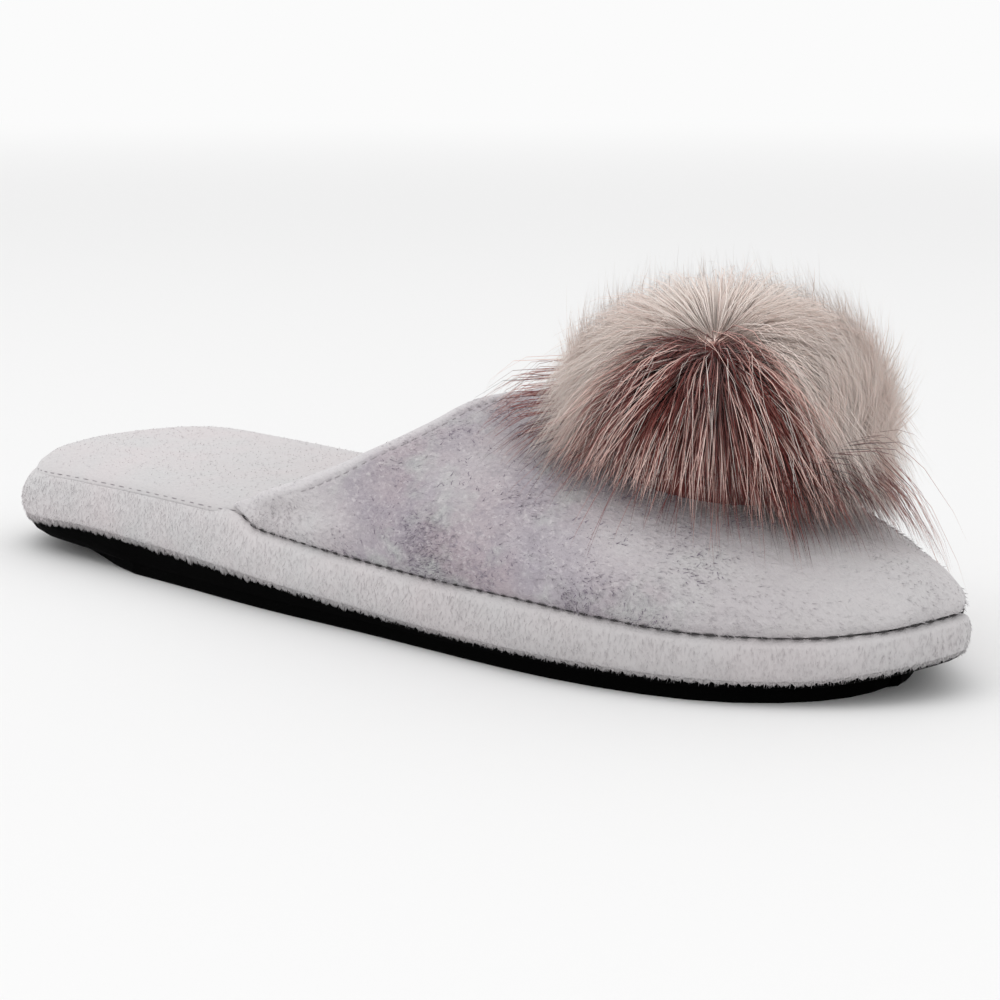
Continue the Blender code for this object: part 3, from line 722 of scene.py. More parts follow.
vampPlush = plushMaterial("vampPlush", crushed=True, streaked=False, contrast=0.42)
bandPlush = plushMaterial("bandPlush", crushed=False, streaked=True, contrast=0.20)
insolePlush = plushMaterial("insolePlush", crushed=False, streaked=False, contrast=0.08)
blackRubber = rubberMaterial()
pompomFur = furMaterial("pompomFur", furLooks)
# dark pile curls: real fibres whose dark colour paints the shade of the curls' relief
curlPileShade = threadMaterial("curlPileShade", (0.270, 0.235, 0.285), 0.9)
# real seam stitches, whose near-black colour also paints the shadow in the seam's groove
seamThreadGrooveShade = threadMaterial("seamThreadGrooveShade", (0.045, 0.040, 0.042))
paleThread = threadMaterial("paleThread", (0.46, 0.43, 0.45))
quietThread = threadMaterial("quietThread", (0.34, 0.31, 0.33))
print("materials made")


# outsole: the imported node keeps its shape
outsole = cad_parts["outsole"]
outsole.data.materials.clear()
outsole.data.materials.append(blackRubber)

# band of plush round the platform
bandLooks = {
    "stations": 250,  # along each side
    "sideSteps": 26,
    "groove": 0.0009,  # how far the seam pulls in
    "grooveWidth": 0.10,
    "lumps": 0.00022,
    "lap": 0.0011,  # how far the insole's edge laps down over the band behind the vamp
}
# inset of the band's side by its height, from the lower edge up
bandRows = [
    (0.00, 0.0021),
    (0.05, 0.0012),
    (0.12, 0.0006),
    (0.25, 0.0002),
    (0.48, 0.0),
    (0.72, 0.0003),
    (0.91, 0.0007),
    (1.00, 0.0012),
]


def ringAngles(stations):
    return np.arange(2 * stations) * math.pi / stations


def ringAt(angles, inset, height):
    x, y = outlinePoints(angles, inset)
    side = np.where(angles <= math.pi, -1.0, 1.0)
    return np.stack([x, y, height(x / slipperForm["length"], side)], -1)


def softLumps(points, size, seed):  # smooth noise from a few crossed waves
    dice = np.random.default_rng(seed)
    total = np.zeros(len(points))
    for k in range(14):
        way = dice.normal(size=3)
        way *= (0.6 + 0.9 * dice.random()) * 2 * math.pi / size / np.linalg.norm(way)
        total += np.sin(points @ way + dice.random() * 6.28)
    return total / 3.7


def makeBand():
    angles = ringAngles(bandLooks["stations"])
    along = (1 - np.cos(angles)) / 2
    side = np.where(angles <= math.pi, -1.0, 1.0)
    share = underUpper(along, side)
    low = lambda a, s: rimTop(a) + 0.0002
    rings = [ringAt(angles, slipperForm["rimInset"] + 0.0012, low)]
    seamPull = 0.0004 + 0.0008 * share
    for k in range(bandLooks["sideSteps"] + 1):
        up = k / bandLooks["sideSteps"]
        inset = through(bandRows, 1, up) + heelRoll(along) * up**3
        inset = inset + seamPull * np.exp(-(((1 - up) / bandLooks["grooveWidth"]) ** 2))
        points = ringAt(angles, inset, lambda a, s, up=up: low(a, s) + up * (bandTop(a, s) - bandLooks["lap"] * (1 - share) - low(a, s)))
        middle = math.sin(min(up * 1.15, 1) * math.pi) ** 0.7 if 0 < up < 0.87 else 0.0
        swell = softLumps(points, 0.016, 4) * bandLooks["lumps"] * middle
        x, y = outlinePoints(angles, inset - swell)
        points[:, 0], points[:, 1] = x, y
        rings.append(points)
    behind = slipperForm["insoleEdge"] + 0.0008 + heelRoll(along)
    inside = slipperForm["seamInset"] + slipperForm["wall"] + 0.0010
    ledge = behind * (1 - share) + inside * share
    rings.append(ringAt(angles, ledge, lambda a, s: bandTop(a, s) - 0.0004 - bandLooks["lap"] * (1 - share)))
    rings.append(ringAt(angles, ledge + 0.0002, lambda a, s: bedHeight(a) - slipperForm["insoleThickness"] - 0.0004))
    points, faces = stackRings(rings, 4)
    outward = np.zeros((len(points), 3))
    middle = np.array([slipperForm["length"] * 0.5, 0, 0])
    outward[:, 1] = np.sign(points[:, 1] - middle[1]) * 0.25
    outward[:, 2] = -0.9  # the nap lies downwards
    mask = np.zeros(len(points))
    count = len(angles)
    for k in range(1, bandLooks["sideSteps"] + 2):
        mask[k * count : (k + 1) * count] = 1.0
    # painted shade on the band, growing towards the toe
    paintedShade = smoothStep((points[:, 0] / slipperForm["length"] - 0.30) / 0.55)
    return newPiece("platformPlush", points, faces, {"napMask": mask, "lay": outward, "paintedShade": paintedShade})


band = makeBand()
band.data.materials.append(bandPlush)
print("band made")

# insole with its padded crown and stitched edge
insoleLooks = {
    "stations": 220,
    "bedSteps": 26,
    "edgeGroove": 0.00045,
    "lap": 0.0012,
    "press": 0.0005,  # how deep the foot has pressed the pad
}
# inset from the edge, drop below the edge line as a share of the thickness, share of the crown
insoleRows = [
    (0.0000, -0.80, 0.00),
    (0.0001, -0.48, 0.00),
    (0.0004, -0.24, 0.01),
    (0.0009, -0.07, 0.06),
    (0.0017, 0.01, 0.19),
    (0.0026, 0.00, 0.33),
    (0.0036, 0.00, 0.51),
    (0.0050, 0.00, 0.68),
    (0.0072, 0.00, 0.81),
    (0.0100, 0.00, 0.91),
    (0.0135, 0.00, 0.97),
    (0.0170, 0.00, 1.00),
]
# place along and across the shoe, radii, depth: where a foot rests
pressRows = [(0.14, 0.0, 0.026, 0.020, 1.0), (0.66, 0.004, 0.030, 0.026, 0.8), (0.40, -0.010, 0.040, 0.016, 0.35)]


def makeInsole():
    angles = ringAngles(insoleLooks["stations"])
    along = (1 - np.cos(angles)) / 2
    side = np.where(angles <= math.pi, -1.0, 1.0)
    edge = insoleInset(along, side) - insoleLooks["lap"] * (1 - underUpper(along, side))
    floor = lambda a, s: bedHeight(a) - slipperForm["insoleThickness"]
    rings = [ringAt(angles, edge, floor)]
    for inset, drop, crown in insoleRows:
        height = lambda a, s, d=drop, c=crown: (
            bedHeight(a) + d * slipperForm["insoleThickness"] + c * slipperForm["insoleCrown"] * through(paddingRows, 1, a)
        )
        rings.append(ringAt(angles, edge + inset, height))
    points, faces = stackRings(rings, insoleLooks["bedSteps"])
    top = np.arange(len(points)) >= 5 * len(angles)
    for place, y, longRadius, wideRadius, depth in pressRows:
        far = ((points[:, 0] - place * slipperForm["length"]) / longRadius) ** 2 + ((points[:, 1] - y) / wideRadius) ** 2
        points[:, 2] -= top * insoleLooks["press"] * depth * np.exp(-far)
    points[:, 2] += top * softLumps(points, 0.030, 9) * 0.00012
    mask = np.where(top & (points[:, 0] < 0.155), 1.0, 0.0)
    lay = np.tile([0.55, 0.1, 0.0], (len(points), 1))
    # painted shade on the insole, darker towards and under the vamp
    paintedShade = 0.08 + 0.42 * smoothStep((points[:, 0] - 0.035) / 0.060)
    return newPiece("insolePad", points, faces, {"napMask": mask, "lay": lay, "paintedShade": paintedShade})


insole = makeInsole()
insole.data.materials.append(insolePlush)
print("insole made")

# vamp, with its folded hem
vampLooks = {
    "columns": 150,
    "rows": 92,
    "seamPull": 0.0009,
    "seamPullWidth": 0.0013,
    "pucker": 0.00032,
    "puckerPitch": 0.0072,
    "lumps": 0.00030,
}
# folded hem: share of its width back from the edge, how proud it stands
hemRows = [(0.0, 0.25), (0.12, 0.70), (0.3, 1.0), (0.5, 1.0), (0.66, 0.85), (0.78, 0.50), (0.86, 0.05), (0.94, -0.1), (1.1, 0.0), (1.45, 0.0)]
# soft folds: along, across, turn from the long axis in degrees, half length, half width, depth
foldRows = [
    (0.455, 0.050, 22, 0.016, 0.0040, 0.00060),
    (0.520, 0.120, 34, 0.018, 0.0050, 0.00045),
    (0.600, 0.230, 62, 0.020, 0.0060, 0.00040),
    (0.700, 0.120, 12, 0.024, 0.0060, 0.00045),
    (0.880, 0.200, 55, 0.012, 0.0045, 0.00040),
    (0.930, 0.420, 84, 0.014, 0.0040, 0.00045),
    (0.480, 0.945, -22, 0.016, 0.0040, 0.00060),
    (0.610, 0.780, -58, 0.020, 0.0060, 0.00040),
    (0.760, 0.880, -14, 0.022, 0.0060, 0.00045),
]
# how far the nap is crushed to lilac, by share along the shoe
crushAlong = [
    (0.38, 0.02),
    (0.44, 0.12),
    (0.48, 0.42),
    (0.53, 0.90),
    (0.58, 1.00),
    (0.75, 0.95),
    (0.81, 0.80),
    (0.86, 0.52),
    (0.90, 0.38),
    (0.95, 0.30),
    (1.00, 0.20),
]
# patches brushed paler or darker: along, across, radius, change
crushRows = [
    (0.50, 0.05, 0.010, -0.30),
    (0.62, 0.24, 0.013, -0.28),
    (0.68, 0.13, 0.011, -0.20),
    (0.56, 0.13, 0.010, 0.20),
    (0.72, 0.05, 0.010, 0.20),
    (0.78, 0.20, 0.014, -0.35),
    (0.60, 0.75, 0.015, -0.30),
    (0.70, 0.88, 0.014, -0.25),
    (0.80, 0.70, 0.016, -0.30),
]


def vampFace(depth, facing):
    across = np.linspace(0, 1, vampLooks["columns"] + 1)
    across = across - 0.055 * np.sin(2 * math.pi * across) / math.pi  # closer together at the seams
    start = through(toplineRows, 1, across)
    length = slipperForm["length"]
    curves = sideCurves(slipperForm["seamInset"] + depth)
    tip = 1 - (slipperForm["seamInset"] + depth) / length
    slant = np.gradient(start * length, across * slipperForm["ballWidth"] * math.pi / 2)
    run = slipperForm["hemWidth"] / length * np.minimum(np.sqrt(1 + slant**2), 3.0)
    places = [start + run * row[0] for row in hemRows]
    first = places[-1]
    for step in range(1, vampLooks["rows"]):
        places.append(first + (tip - first) * math.sin((step / vampLooks["rows"]) ** 1.15 * math.pi / 2))
    points = np.array([arch(place, across, depth, curves) for place in places])
    normal = np.cross(np.gradient(points, axis=0), np.gradient(points, axis=1))
    normal /= np.maximum(np.linalg.norm(normal, axis=-1, keepdims=True), 1e-12)
    normal *= np.sign(normal[:, vampLooks["columns"] // 2, 2].mean())  # outwards
    around = np.concatenate([[0], np.cumsum(np.linalg.norm(np.diff(points[len(hemRows)], axis=0), axis=-1))])
    around -= around[len(around) // 2]
    offset = np.zeros(points.shape[:2])
    fromTip = np.clip((length * tip - points[..., 0]) / 0.004, 0, 1)
    for along, place, turn, halfLength, halfWidth, deep in foldRows:
        u = points[..., 0] - along * length
        v = np.broadcast_to(around - np.interp(place, across, around), u.shape)
        c, s = math.cos(math.radians(turn)), math.sin(math.radians(turn))
        p, q = u * c + v * s, v * c - u * s
        trough = np.exp(-((q / halfWidth) ** 2)) - 0.45 * np.exp(-(((np.abs(q) - 1.9 * halfWidth) / halfWidth) ** 2))
        offset -= deep * trough * np.exp(-((p / halfLength) ** 2))
    side = np.where(across < 0.5, -1.0, 1.0)
    above = points[..., 2] - bandTop(points[..., 0] / length, side)
    low = np.exp(-((above / vampLooks["seamPullWidth"]) ** 2))
    wave = np.sin(points[..., 0] * 2 * math.pi / vampLooks["puckerPitch"] + 1.7 * np.sin(points[..., 0] * 140))
    toeward = smoothStep((points[..., 0] / length - 0.62) / 0.12)
    offset += vampLooks["pucker"] * wave * toeward * np.exp(-(((above - 0.002) / 0.0022) ** 2))
    offset += vampLooks["lumps"] * softLumps(points.reshape(-1, 3), 0.022, 2).reshape(offset.shape) * (1 - low)
    offset *= fromTip
    if facing > 0:
        offset -= vampLooks["seamPull"] * low
    clear = smoothStep(np.minimum(across, 1 - across) / 0.13)
    for number, (back, proud) in enumerate(hemRows):
        offset[number] += facing * 0.0006 * proud * clear
    points = points + normal * offset[..., None]
    crush = through(crushAlong, 1, points[..., 0] / length)
    for along, place, radius, strength in crushRows:
        u = points[..., 0] - along * length
        v = around - np.interp(place, across, around)
        crush += strength * np.exp(-(u**2 + v**2) / radius**2)
    crush = np.clip(crush, 0, 1)
    # hem: painted highlight along the folded hem, fading back from the edge; the inner face gets 0.6 of the pale colour
    # all over
    hem = np.zeros(offset.shape)
    for number, (back, proud) in enumerate(hemRows):
        hem[number] = 0.80 * (1 - smoothStep((back - 0.40) / 0.85))
    if facing < 0:
        crush, hem = crush * 0.3, hem * 0 + 0.6
    end = arch(np.array([tip]), np.array([0.0]), depth, curves)[0]
    return points, end, crush, hem, normal


def makeVamp():
    outer, outerTip, outerCrush, outerHem, normal = vampFace(0.0, 1)
    inner, innerTip, innerCrush, innerHem, _ = vampFace(slipperForm["wall"], -1)
    rows, columns = outer.shape[:2]
    middle, half = (outer[0] + inner[0]) / 2, (outer[0] - inner[0]) / 2
    roll = []
    for k in range(1, 6):
        turn = k / 6 * math.pi
        line = middle + half * math.cos(turn)
        line[:, 0] -= 0.0011 * math.sin(turn)
        roll.append(line)
    roll = np.array(roll)
    points = np.concatenate([outer.reshape(-1, 3), inner.reshape(-1, 3), roll.reshape(-1, 3), [outerTip, innerTip]])
    size, rollStart = rows * columns, 2 * rows * columns
    tips = rollStart + 5 * columns
    faces = gridFaces(rows, columns) + gridFaces(rows, columns, size) + gridFaces(5, columns, rollStart)
    for j in range(columns - 1):
        faces.append((j, j + 1, rollStart + j + 1, rollStart + j))
        lastRoll = rollStart + 4 * columns
        faces.append((size + j, size + j + 1, lastRoll + j + 1, lastRoll + j))
        faces.append((size - columns + j, size - columns + j + 1, tips))
        faces.append((2 * size - columns + j, 2 * size - columns + j + 1, tips + 1))
    for j in (0, columns - 1):
        for i in range(rows - 1):
            faces.append((i * columns + j, (i + 1) * columns + j, size + (i + 1) * columns + j, size + i * columns + j))
        faces.append((size - columns + j, tips, tips + 1, 2 * size - columns + j))
        faces.append(tuple([j] + [rollStart + k * columns + j for k in range(5)] + [size + j]))
    crush = np.concatenate([outerCrush.ravel(), innerCrush.ravel(), np.zeros(5 * columns), [0, 0]])
    # painted highlight on the roll of the hem
    hem = np.concatenate([outerHem.ravel(), innerHem.ravel(), np.full(5 * columns, 0.85), [0, 0]])
    mask = np.concatenate([np.ones(size), np.zeros(size), np.full(5 * columns, 0.4), [0, 0]])
    mask[:size] -= 0.70 * smoothStep((outer.reshape(-1, 3)[:, 0] / slipperForm["length"] - 0.80) / 0.1)
    mask[: 9 * columns] = 0.35
    lay = np.zeros((len(points), 3))
    swirl = softLumps(points, 0.045, 21)
    lay[:, 0], lay[:, 1] = np.cos(swirl * 1.6), np.sin(swirl * 1.6)
    lay[:, 2] = -0.4
    # a uniform darkening, plus painted shade growing towards the toe
    paintedShade = 0.30 + 0.70 * smoothStep((points[:, 0] / slipperForm["length"] - 0.76) / 0.14)
    values = {"crush": crush, "hem": hem, "napMask": mask, "lay": lay, "paintedShade": paintedShade}
    return newPiece("vampPlushShell", points, faces, values), outer, normal


vamp, vampOuter, vampNormal = makeVamp()
vamp.data.materials.append(vampPlush)
print("vamp made")

# nap fibres over the plush, and the fringe of pile over the rubber
napLooks = {
    "thick": 0.00009,
    "vamp": {"Density": 2.4e6, "Length": 0.0011, "Upright": 0.28, "Stray": 0.60, "Seed": 3},
    "band": {"Density": 2.2e6, "Length": 0.0009, "Upright": 0.22, "Stray": 0.30, "Seed": 5},
    "insole": {"Density": 0.4e6, "Length": 0.0006, "Upright": 0.06, "Stray": 0.50, "Seed": 7},
    "fleck": {"Density": 1.6e6, "Length": 0.0012, "Upright": 0.08, "Stray": 1.0, "Seed": 8},
    "fleckThick": 1.35,
}


def makeFibre(name, thick):  # a closed blade of four faces, one unit long
    turns = [0, 2.1, 4.2]
    points = [(thick * math.cos(t), thick * math.sin(t), 0) for t in turns]
    mesh = bpy.data.meshes.new(name)
    mesh.from_pydata(points + [(0, 0, 1)], [], [(2, 1, 0), (0, 1, 3), (1, 2, 3), (2, 0, 3)])
    fibre = bpy.data.objects.new(name, mesh)
    bpy.context.scene.collection.objects.link(fibre)
    return fibre


fibreShape = makeFibre("fibre", napLooks["thick"])
fleckShape = makeFibre("fleck", napLooks["thick"] * napLooks["fleckThick"])
nap = napTree()


def growNap(name, base, settings, material, shape=fibreShape, mask=None):
    piece = bpy.data.objects.new(name, base.data.copy())
    bpy.context.scene.collection.objects.link(piece)
    if mask is not None:
        piece.data.attributes["napMask"].data.foreach_set("value", mask.astype(np.float32))
    return growBy(piece, nap, {**settings, "Fibre": shape, "Material": material})


vampNap = growNap("vampNap", vamp, napLooks["vamp"], vampPlush)
bandNap = growNap("bandNap", band, napLooks["band"], bandPlush)
insoleNap = growNap("insoleNap", insole, napLooks["insole"], insolePlush)
# darker curls of pile where the nap is crushed, in scattered patches; their dark colour is painted shade for the relief
# of the curls
crushed = np.empty(len(vamp.data.vertices))
vamp.data.attributes["crush"].data.foreach_get("value", crushed)
spots = np.empty(len(vamp.data.vertices) * 3)
vamp.data.vertices.foreach_get("co", spots)
scatter = smoothStep((softLumps(spots.reshape(-1, 3), 0.012, 31) + 0.5) / 1.4)
upperSide = np.empty(len(vamp.data.vertices))
vamp.data.attributes["napMask"].data.foreach_get("value", upperSide)
fleckMask = (upperSide > 0.5) * np.clip(crushed - 0.25, 0, 1) * 1.3 * scatter
vampFlecks = growNap("vampFlecks", vamp, napLooks["fleck"], curlPileShade, fleckShape, fleckMask)

# stitches along the seams
stitchLooks = {
    "seam": {"Pitch": 0.0033, "Length": 0.0025, "Thread": 0.00044},
    "hem": {"Pitch": 0.0024, "Length": 0.0017, "Thread": 0.00024},
    "insole": {"Pitch": 0.0034, "Length": 0.0024, "Thread": 0.00028},
}


def makeStitch():  # a rounded bead one unit long and wide
    mesh = bpy.data.meshes.new("stitch")
    work = bmesh.new()
    bmesh.ops.create_uvsphere(work, u_segments=6, v_segments=6, radius=0.5)
    bmesh.ops.rotate(work, verts=work.verts, cent=(0, 0, 0), matrix=Vector((1, 0, 0)).rotation_difference(Vector((0, 0, 1))).to_matrix())
    work.to_mesh(mesh)
    work.free()
    stitch = bpy.data.objects.new("stitch", mesh)
    bpy.context.scene.collection.objects.link(stitch)
    return stitch


stitchShape = makeStitch()
stitching = stitchTree()


def sewLine(name, line, facing, settings, material):
    mesh = bpy.data.meshes.new(name)
    mesh.from_pydata([tuple(p) for p in toFrame(line)], [(i, i + 1) for i in range(len(line) - 1)], [])
    layer = mesh.attributes.new("facing", "FLOAT_VECTOR", "POINT")
    layer.data.foreach_set("vector", np.asarray(facing, np.float32).ravel())
    piece = bpy.data.objects.new(name, mesh)
    bpy.context.scene.collection.objects.link(piece)
    return growBy(piece, stitching, {**settings, "Stitch": stitchShape, "Material": material})


def seamLine():
    angles = np.linspace(0, 2 * math.pi, 1201)[1:-1]
    along = (1 - np.cos(angles)) / 2
    side = np.where(angles <= math.pi, -1.0, 1.0)
    x, y = outlinePoints(angles, slipperForm["seamInset"] + 0.0006)
    keep = np.where(side < 0, x > slipperForm["outerCorner"] + 0.006, x > slipperForm["innerCorner"] + 0.006)
    line = np.stack([x, y, bandTop(x / slipperForm["length"], side) + 0.0002], -1)[keep]
    out = np.stack([x, y], -1)[keep]
    shallow = np.stack(outlinePoints(angles, 0.0), -1)[keep] - out
    facing = np.concatenate([shallow, np.full((len(out), 1), 0.0003)], 1)
    return line, facing / np.linalg.norm(facing, axis=1, keepdims=True)


seamStitches = sewLine("seamStitches", *seamLine(), stitchLooks["seam"], seamThreadGrooveShade)
hemNumber = [row[0] for row in hemRows].index(0.94)
inHem = slice(16, -16)
hemOut = vampNormal[hemNumber][inHem]
hemLine = vampOuter[hemNumber][inHem] + hemOut * 0.0001
hemStitches = sewLine("hemStitches", hemLine, hemOut, stitchLooks["hem"], paleThread)


def insoleLine():
    angles = np.linspace(-1.62, 1.5, 900)
    x, y = outlinePoints(angles % (2 * math.pi), 0.0)
    side = np.where(angles % (2 * math.pi) <= math.pi, -1.0, 1.0)
    along = np.clip(x / slipperForm["length"], 0, 1)
    inset = insoleInset(along, side) - insoleLooks["lap"] * (1 - underUpper(along, side)) + 0.0001
    x, y = outlinePoints(angles % (2 * math.pi), inset)
    z = bedHeight(x / slipperForm["length"]) - 0.60 * slipperForm["insoleThickness"]
    outX, outY = outlinePoints(angles % (2 * math.pi), inset - 0.001)
    facing = unit(np.stack([outX - x, outY - y, np.full(len(x), 0.0010)], -1))
    return np.stack([x, y, z], -1), facing


insoleStitches = sewLine("insoleStitches", *insoleLine(), stitchLooks["insole"], quietThread)
print("seams stitched")

# pompom
pomLooks = {
    "place": (0.2030, 0.0020, 0.0470),
    "core": (0.0235, 0.0235, 0.0200),
    "parting": (0.165, -0.340, 0.926),
    "clumps": 330,
    "reach": 0.0318,
    "width": 0.00011,
    "droop": 0.16,
    "furLift": 0.016,  # hair that has to swing up further than this to clear the vamp is left out
    "wispLift": 0.050,
    "curl": 0.075,  # the longer this is, the straighter the hair
    "fan": (-62.0, 46.0, 18.0),  # sides of the dark fan below the parting and their softness, in degrees
    "seed": 11,
}
# what each layer of fur is: strands, reach and its spread, width, hold of its clumps, share thinned out of the fan
furLayers = {
    "undercoat": {"strands": 8600, "reach": 0.66, "spread": 0.20, "width": 1.1, "hold": 0.25, "thin": 0.0},
    "guard": {"strands": 8400, "reach": 0.95, "spread": 0.20, "width": 1.0, "hold": 0.80, "thin": 0.60},
    "down": {"strands": 19000, "reach": 1.08, "spread": 0.34, "width": 0.50, "hold": 0.12, "thin": 0.92},
}
# length of the fur by its turn about the parting, in degrees from straight down, to the right positive
reachRows = [
    (-180, 1.04),
    (-130, 1.06),
    (-104, 1.06),
    (-86, 0.84),
    (-66, 0.42),
    (-40, 0.24),
    (-5, 0.24),
    (14, 0.36),
    (30, 0.80),
    (50, 1.16),
    (72, 1.16),
    (120, 1.06),
    (180, 1.04),
]
# lowest roots of the fur by the same turn, as a share of the core's height below its middle
rootRows = [
    (-180, 0.60),
    (-100, 0.45),
    (-70, 0.16),
    (-40, -0.02),
    (0, 0.02),
    (30, 0.34),
    (60, 0.60),
    (180, 0.60),
]
# wisps of dark hair: turn and lean in degrees, reach, spread in degrees, hairs, tint
wispRows = [
    (24, 74, 0.030, 5, 46, 0.90),
    (34, 80, 0.038, 5, 60, 0.95),
    (44, 84, 0.043, 5, 70, 0.90),
    (54, 86, 0.044, 6, 60, 0.80),
    (66, 80, 0.042, 8, 40, 0.55),
    (8, 80, 0.022, 8, 30, 0.75),
    (-14, 84, 0.020, 9, 26, 0.75),
    (-48, 78, 0.026, 8, 30, 0.70),
    (-72, 78, 0.036, 8, 46, 0.78),
    (-88, 76, 0.043, 8, 44, 0.72),
    (-104, 70, 0.044, 9, 34, 0.60),
]


def makeStrand(name, stages):  # three sides, tapered, one unit long and wide, with its place along it as an attribute
    points, faces, along = [], [], []
    for place, thick in stages:
        for k in range(3):
            points.append((thick * math.cos(k * 2.0944), thick * math.sin(k * 2.0944), place))
            along.append(place)
    points.append((0, 0, 1))
    along.append(1.0)
    for row in range(len(stages) - 1):
        for k in range(3):
            a, b = row * 3 + k, row * 3 + (k + 1) % 3
            faces.append((a, b, b + 3, a + 3))
    last = len(points) - 4
    faces += [(last + k, last + (k + 1) % 3, last + 3) for k in range(3)] + [(2, 1, 0)]
    mesh = bpy.data.meshes.new(name)
    mesh.from_pydata(points, [], faces)
    mesh.attributes.new("along", "FLOAT", "POINT").data.foreach_set("value", np.array(along, np.float32))
    mesh.shade_smooth()
    strand = bpy.data.objects.new(name, mesh)
    bpy.context.scene.collection.objects.link(strand)
    return strand


viewDown = np.array([0.122, -0.146, -0.982])  # down and right in the picture, at the camera's angle
viewRight = np.array([0.767, 0.641, 0.0])
dice = np.random.default_rng(pomLooks["seed"])
centre, core = np.array(pomLooks["place"]), np.array(pomLooks["core"])
parting = unit(np.array(pomLooks["parting"]))
down = unit(viewDown - parting * viewDown.dot(parting))
right = unit(viewRight - parting * viewRight.dot(parting) - down * viewRight.dot(down))


def spiral(count, cover):
    k = np.arange(count) + 0.5
    z = 1 - 2 * cover * k / count
    flat = np.sqrt(1 - z * z)
    turn = k * math.pi * (3 - math.sqrt(5))
    return np.stack([flat * np.cos(turn), flat * np.sin(turn), z], -1)


def awayFromParting(d):
    away = unit(d - parting * (d @ parting)[:, None] + 1e-6)
    away = unit(away - d * (away * d).sum(1)[:, None])
    flat = unit(d - parting * (d @ parting)[:, None] + 1e-6)
    return away, np.degrees(np.arctan2(flat @ right, flat @ down))


def inFan(turn):
    left, rightSide, soft = pomLooks["fan"]
    return smoothStep((turn - left) / soft + 0.5) * (1 - smoothStep((turn - rightSide) / soft + 0.5))


def hairLie(d, away, length):
    near = d @ parting
    lift = 0.62 + 0.30 * smoothStep((near - 0.5) / 0.5)
    heading = unit(d * lift[:, None] + away * (1.0 - 0.25 * smoothStep((near - 0.8) / 0.2))[:, None])
    bend = -d * (length**2 / pomLooks["curl"])[:, None]
    bend[:, 2] -= pomLooks["droop"] * length
    return heading, bend


def reachAt(d, turn):  # full length above, the table's share of it lower down, and tucked under in front
    low = smoothStep((0.75 - d[:, 2]) / 0.9)
    front = 1 - smoothStep((np.abs(turn + 50) - 80) / 40)
    tuck = 1 - 0.6 * front * smoothStep(-d[:, 2] / 0.5)
    return pomLooks["reach"] * (1 + (through(reachRows, 1, turn) - 1) * low) * tuck


clumps = unit(spiral(pomLooks["clumps"], 0.80) + dice.normal(size=(pomLooks["clumps"], 3)) * 0.05)
clumpAway, clumpTurn = awayFromParting(clumps)
clumpReach = reachAt(clumps, clumpTurn) * (0.94 + 0.16 * dice.random(len(clumps)))
clumpHeading, clumpBend = hairLie(clumps, clumpAway, clumpReach)
clumpTip = centre + clumps * core + clumpHeading * clumpReach[:, None] + clumpBend
clumpTone = dice.random(len(clumps))


def furLayer(name):
    layer = furLayers[name]
    d = unit(spiral(layer["strands"], 0.80) + dice.normal(size=(layer["strands"], 3)) * 0.02)
    away, turn = awayFromParting(d)
    fan = inFan(turn)
    keep = (dice.random(len(d)) > layer["thin"] * fan) & (d[:, 2] > -through(rootRows, 1, turn))
    d, away, turn, fan = d[keep], away[keep], turn[keep], fan[keep]
    count = len(d)
    length = reachAt(d, turn) * (layer["reach"] + 0.05 * fan * (name == "guard")) * (1 + layer["spread"] * (2 * dice.random(count) - 1))
    heading, bend = hairLie(d, away, length)
    root = centre + d * core
    own = np.argmax(d @ clumps.T, axis=1)
    hold = layer["hold"] * (0.55 + 0.45 * fan) * (0.7 + 0.6 * dice.random(count))
    tip = root + heading * length[:, None] + bend
    bend = bend + (clumpTip[own] - tip) * (hold * layer["reach"])[:, None]
    bend += dice.normal(size=d.shape) * (0.0008 + 0.0010 * (name != "undercoat"))
    roll = dice.random(count)
    if name == "undercoat":
        tint = 0.04 * roll + fan * (0.58 + 0.30 * dice.random(count))
        rootTint = 0.04 + 0.96 * fan
    elif name == "guard":
        dark = np.where(roll < 0.24, 0.70 + 0.30 * dice.random(count), np.where(roll < 0.50, 0.40, 0.22))
        tint = 0.08 * dice.random(count) + 0.08 * clumpTone[own] + fan * dark
        rootTint = 0.04 + 0.96 * fan
    else:
        tint = 0.06 * dice.random(count) + 0.05 * clumpTone[own]
        rootTint = np.full(count, 0.03)
    thick = layer["width"] * (0.75 + 0.5 * dice.random(count))
    return dict(root=root, heading=heading, reach=length, bend=bend, tint=tint, rootTint=rootTint, thick=thick)


def wisps():
    rows = [row for row in wispRows for _ in range(row[4])]
    turn, lean, reach, spread, _, tint = np.array(rows).T
    count = len(turn)
    turn = np.radians(turn + spread * dice.normal(size=count))
    lean = np.radians(lean + 5 * dice.normal(size=count))
    side = down * np.cos(turn)[:, None] + right * np.sin(turn)[:, None]
    d = unit(parting * np.cos(lean)[:, None] + side * np.sin(lean)[:, None])
    away, _ = awayFromParting(d)
    length = reach * (0.80 + 0.40 * dice.random(count))
    heading = unit(d + 0.75 * away)
    bend = -d * (length**2 / 0.14)[:, None]
    bend[:, 2] -= 0.34 * length
    bend += dice.normal(size=d.shape) * 0.0016
    tint = np.clip(tint + 0.15 * dice.normal(size=count), 0.1, 1)
    root, rootTint, thick = centre + d * core, np.full(count, 0.5), 0.55 + 0.25 * dice.random(count)
    return dict(root=root, heading=heading, reach=length, bend=bend, tint=tint, rootTint=rootTint, thick=thick)


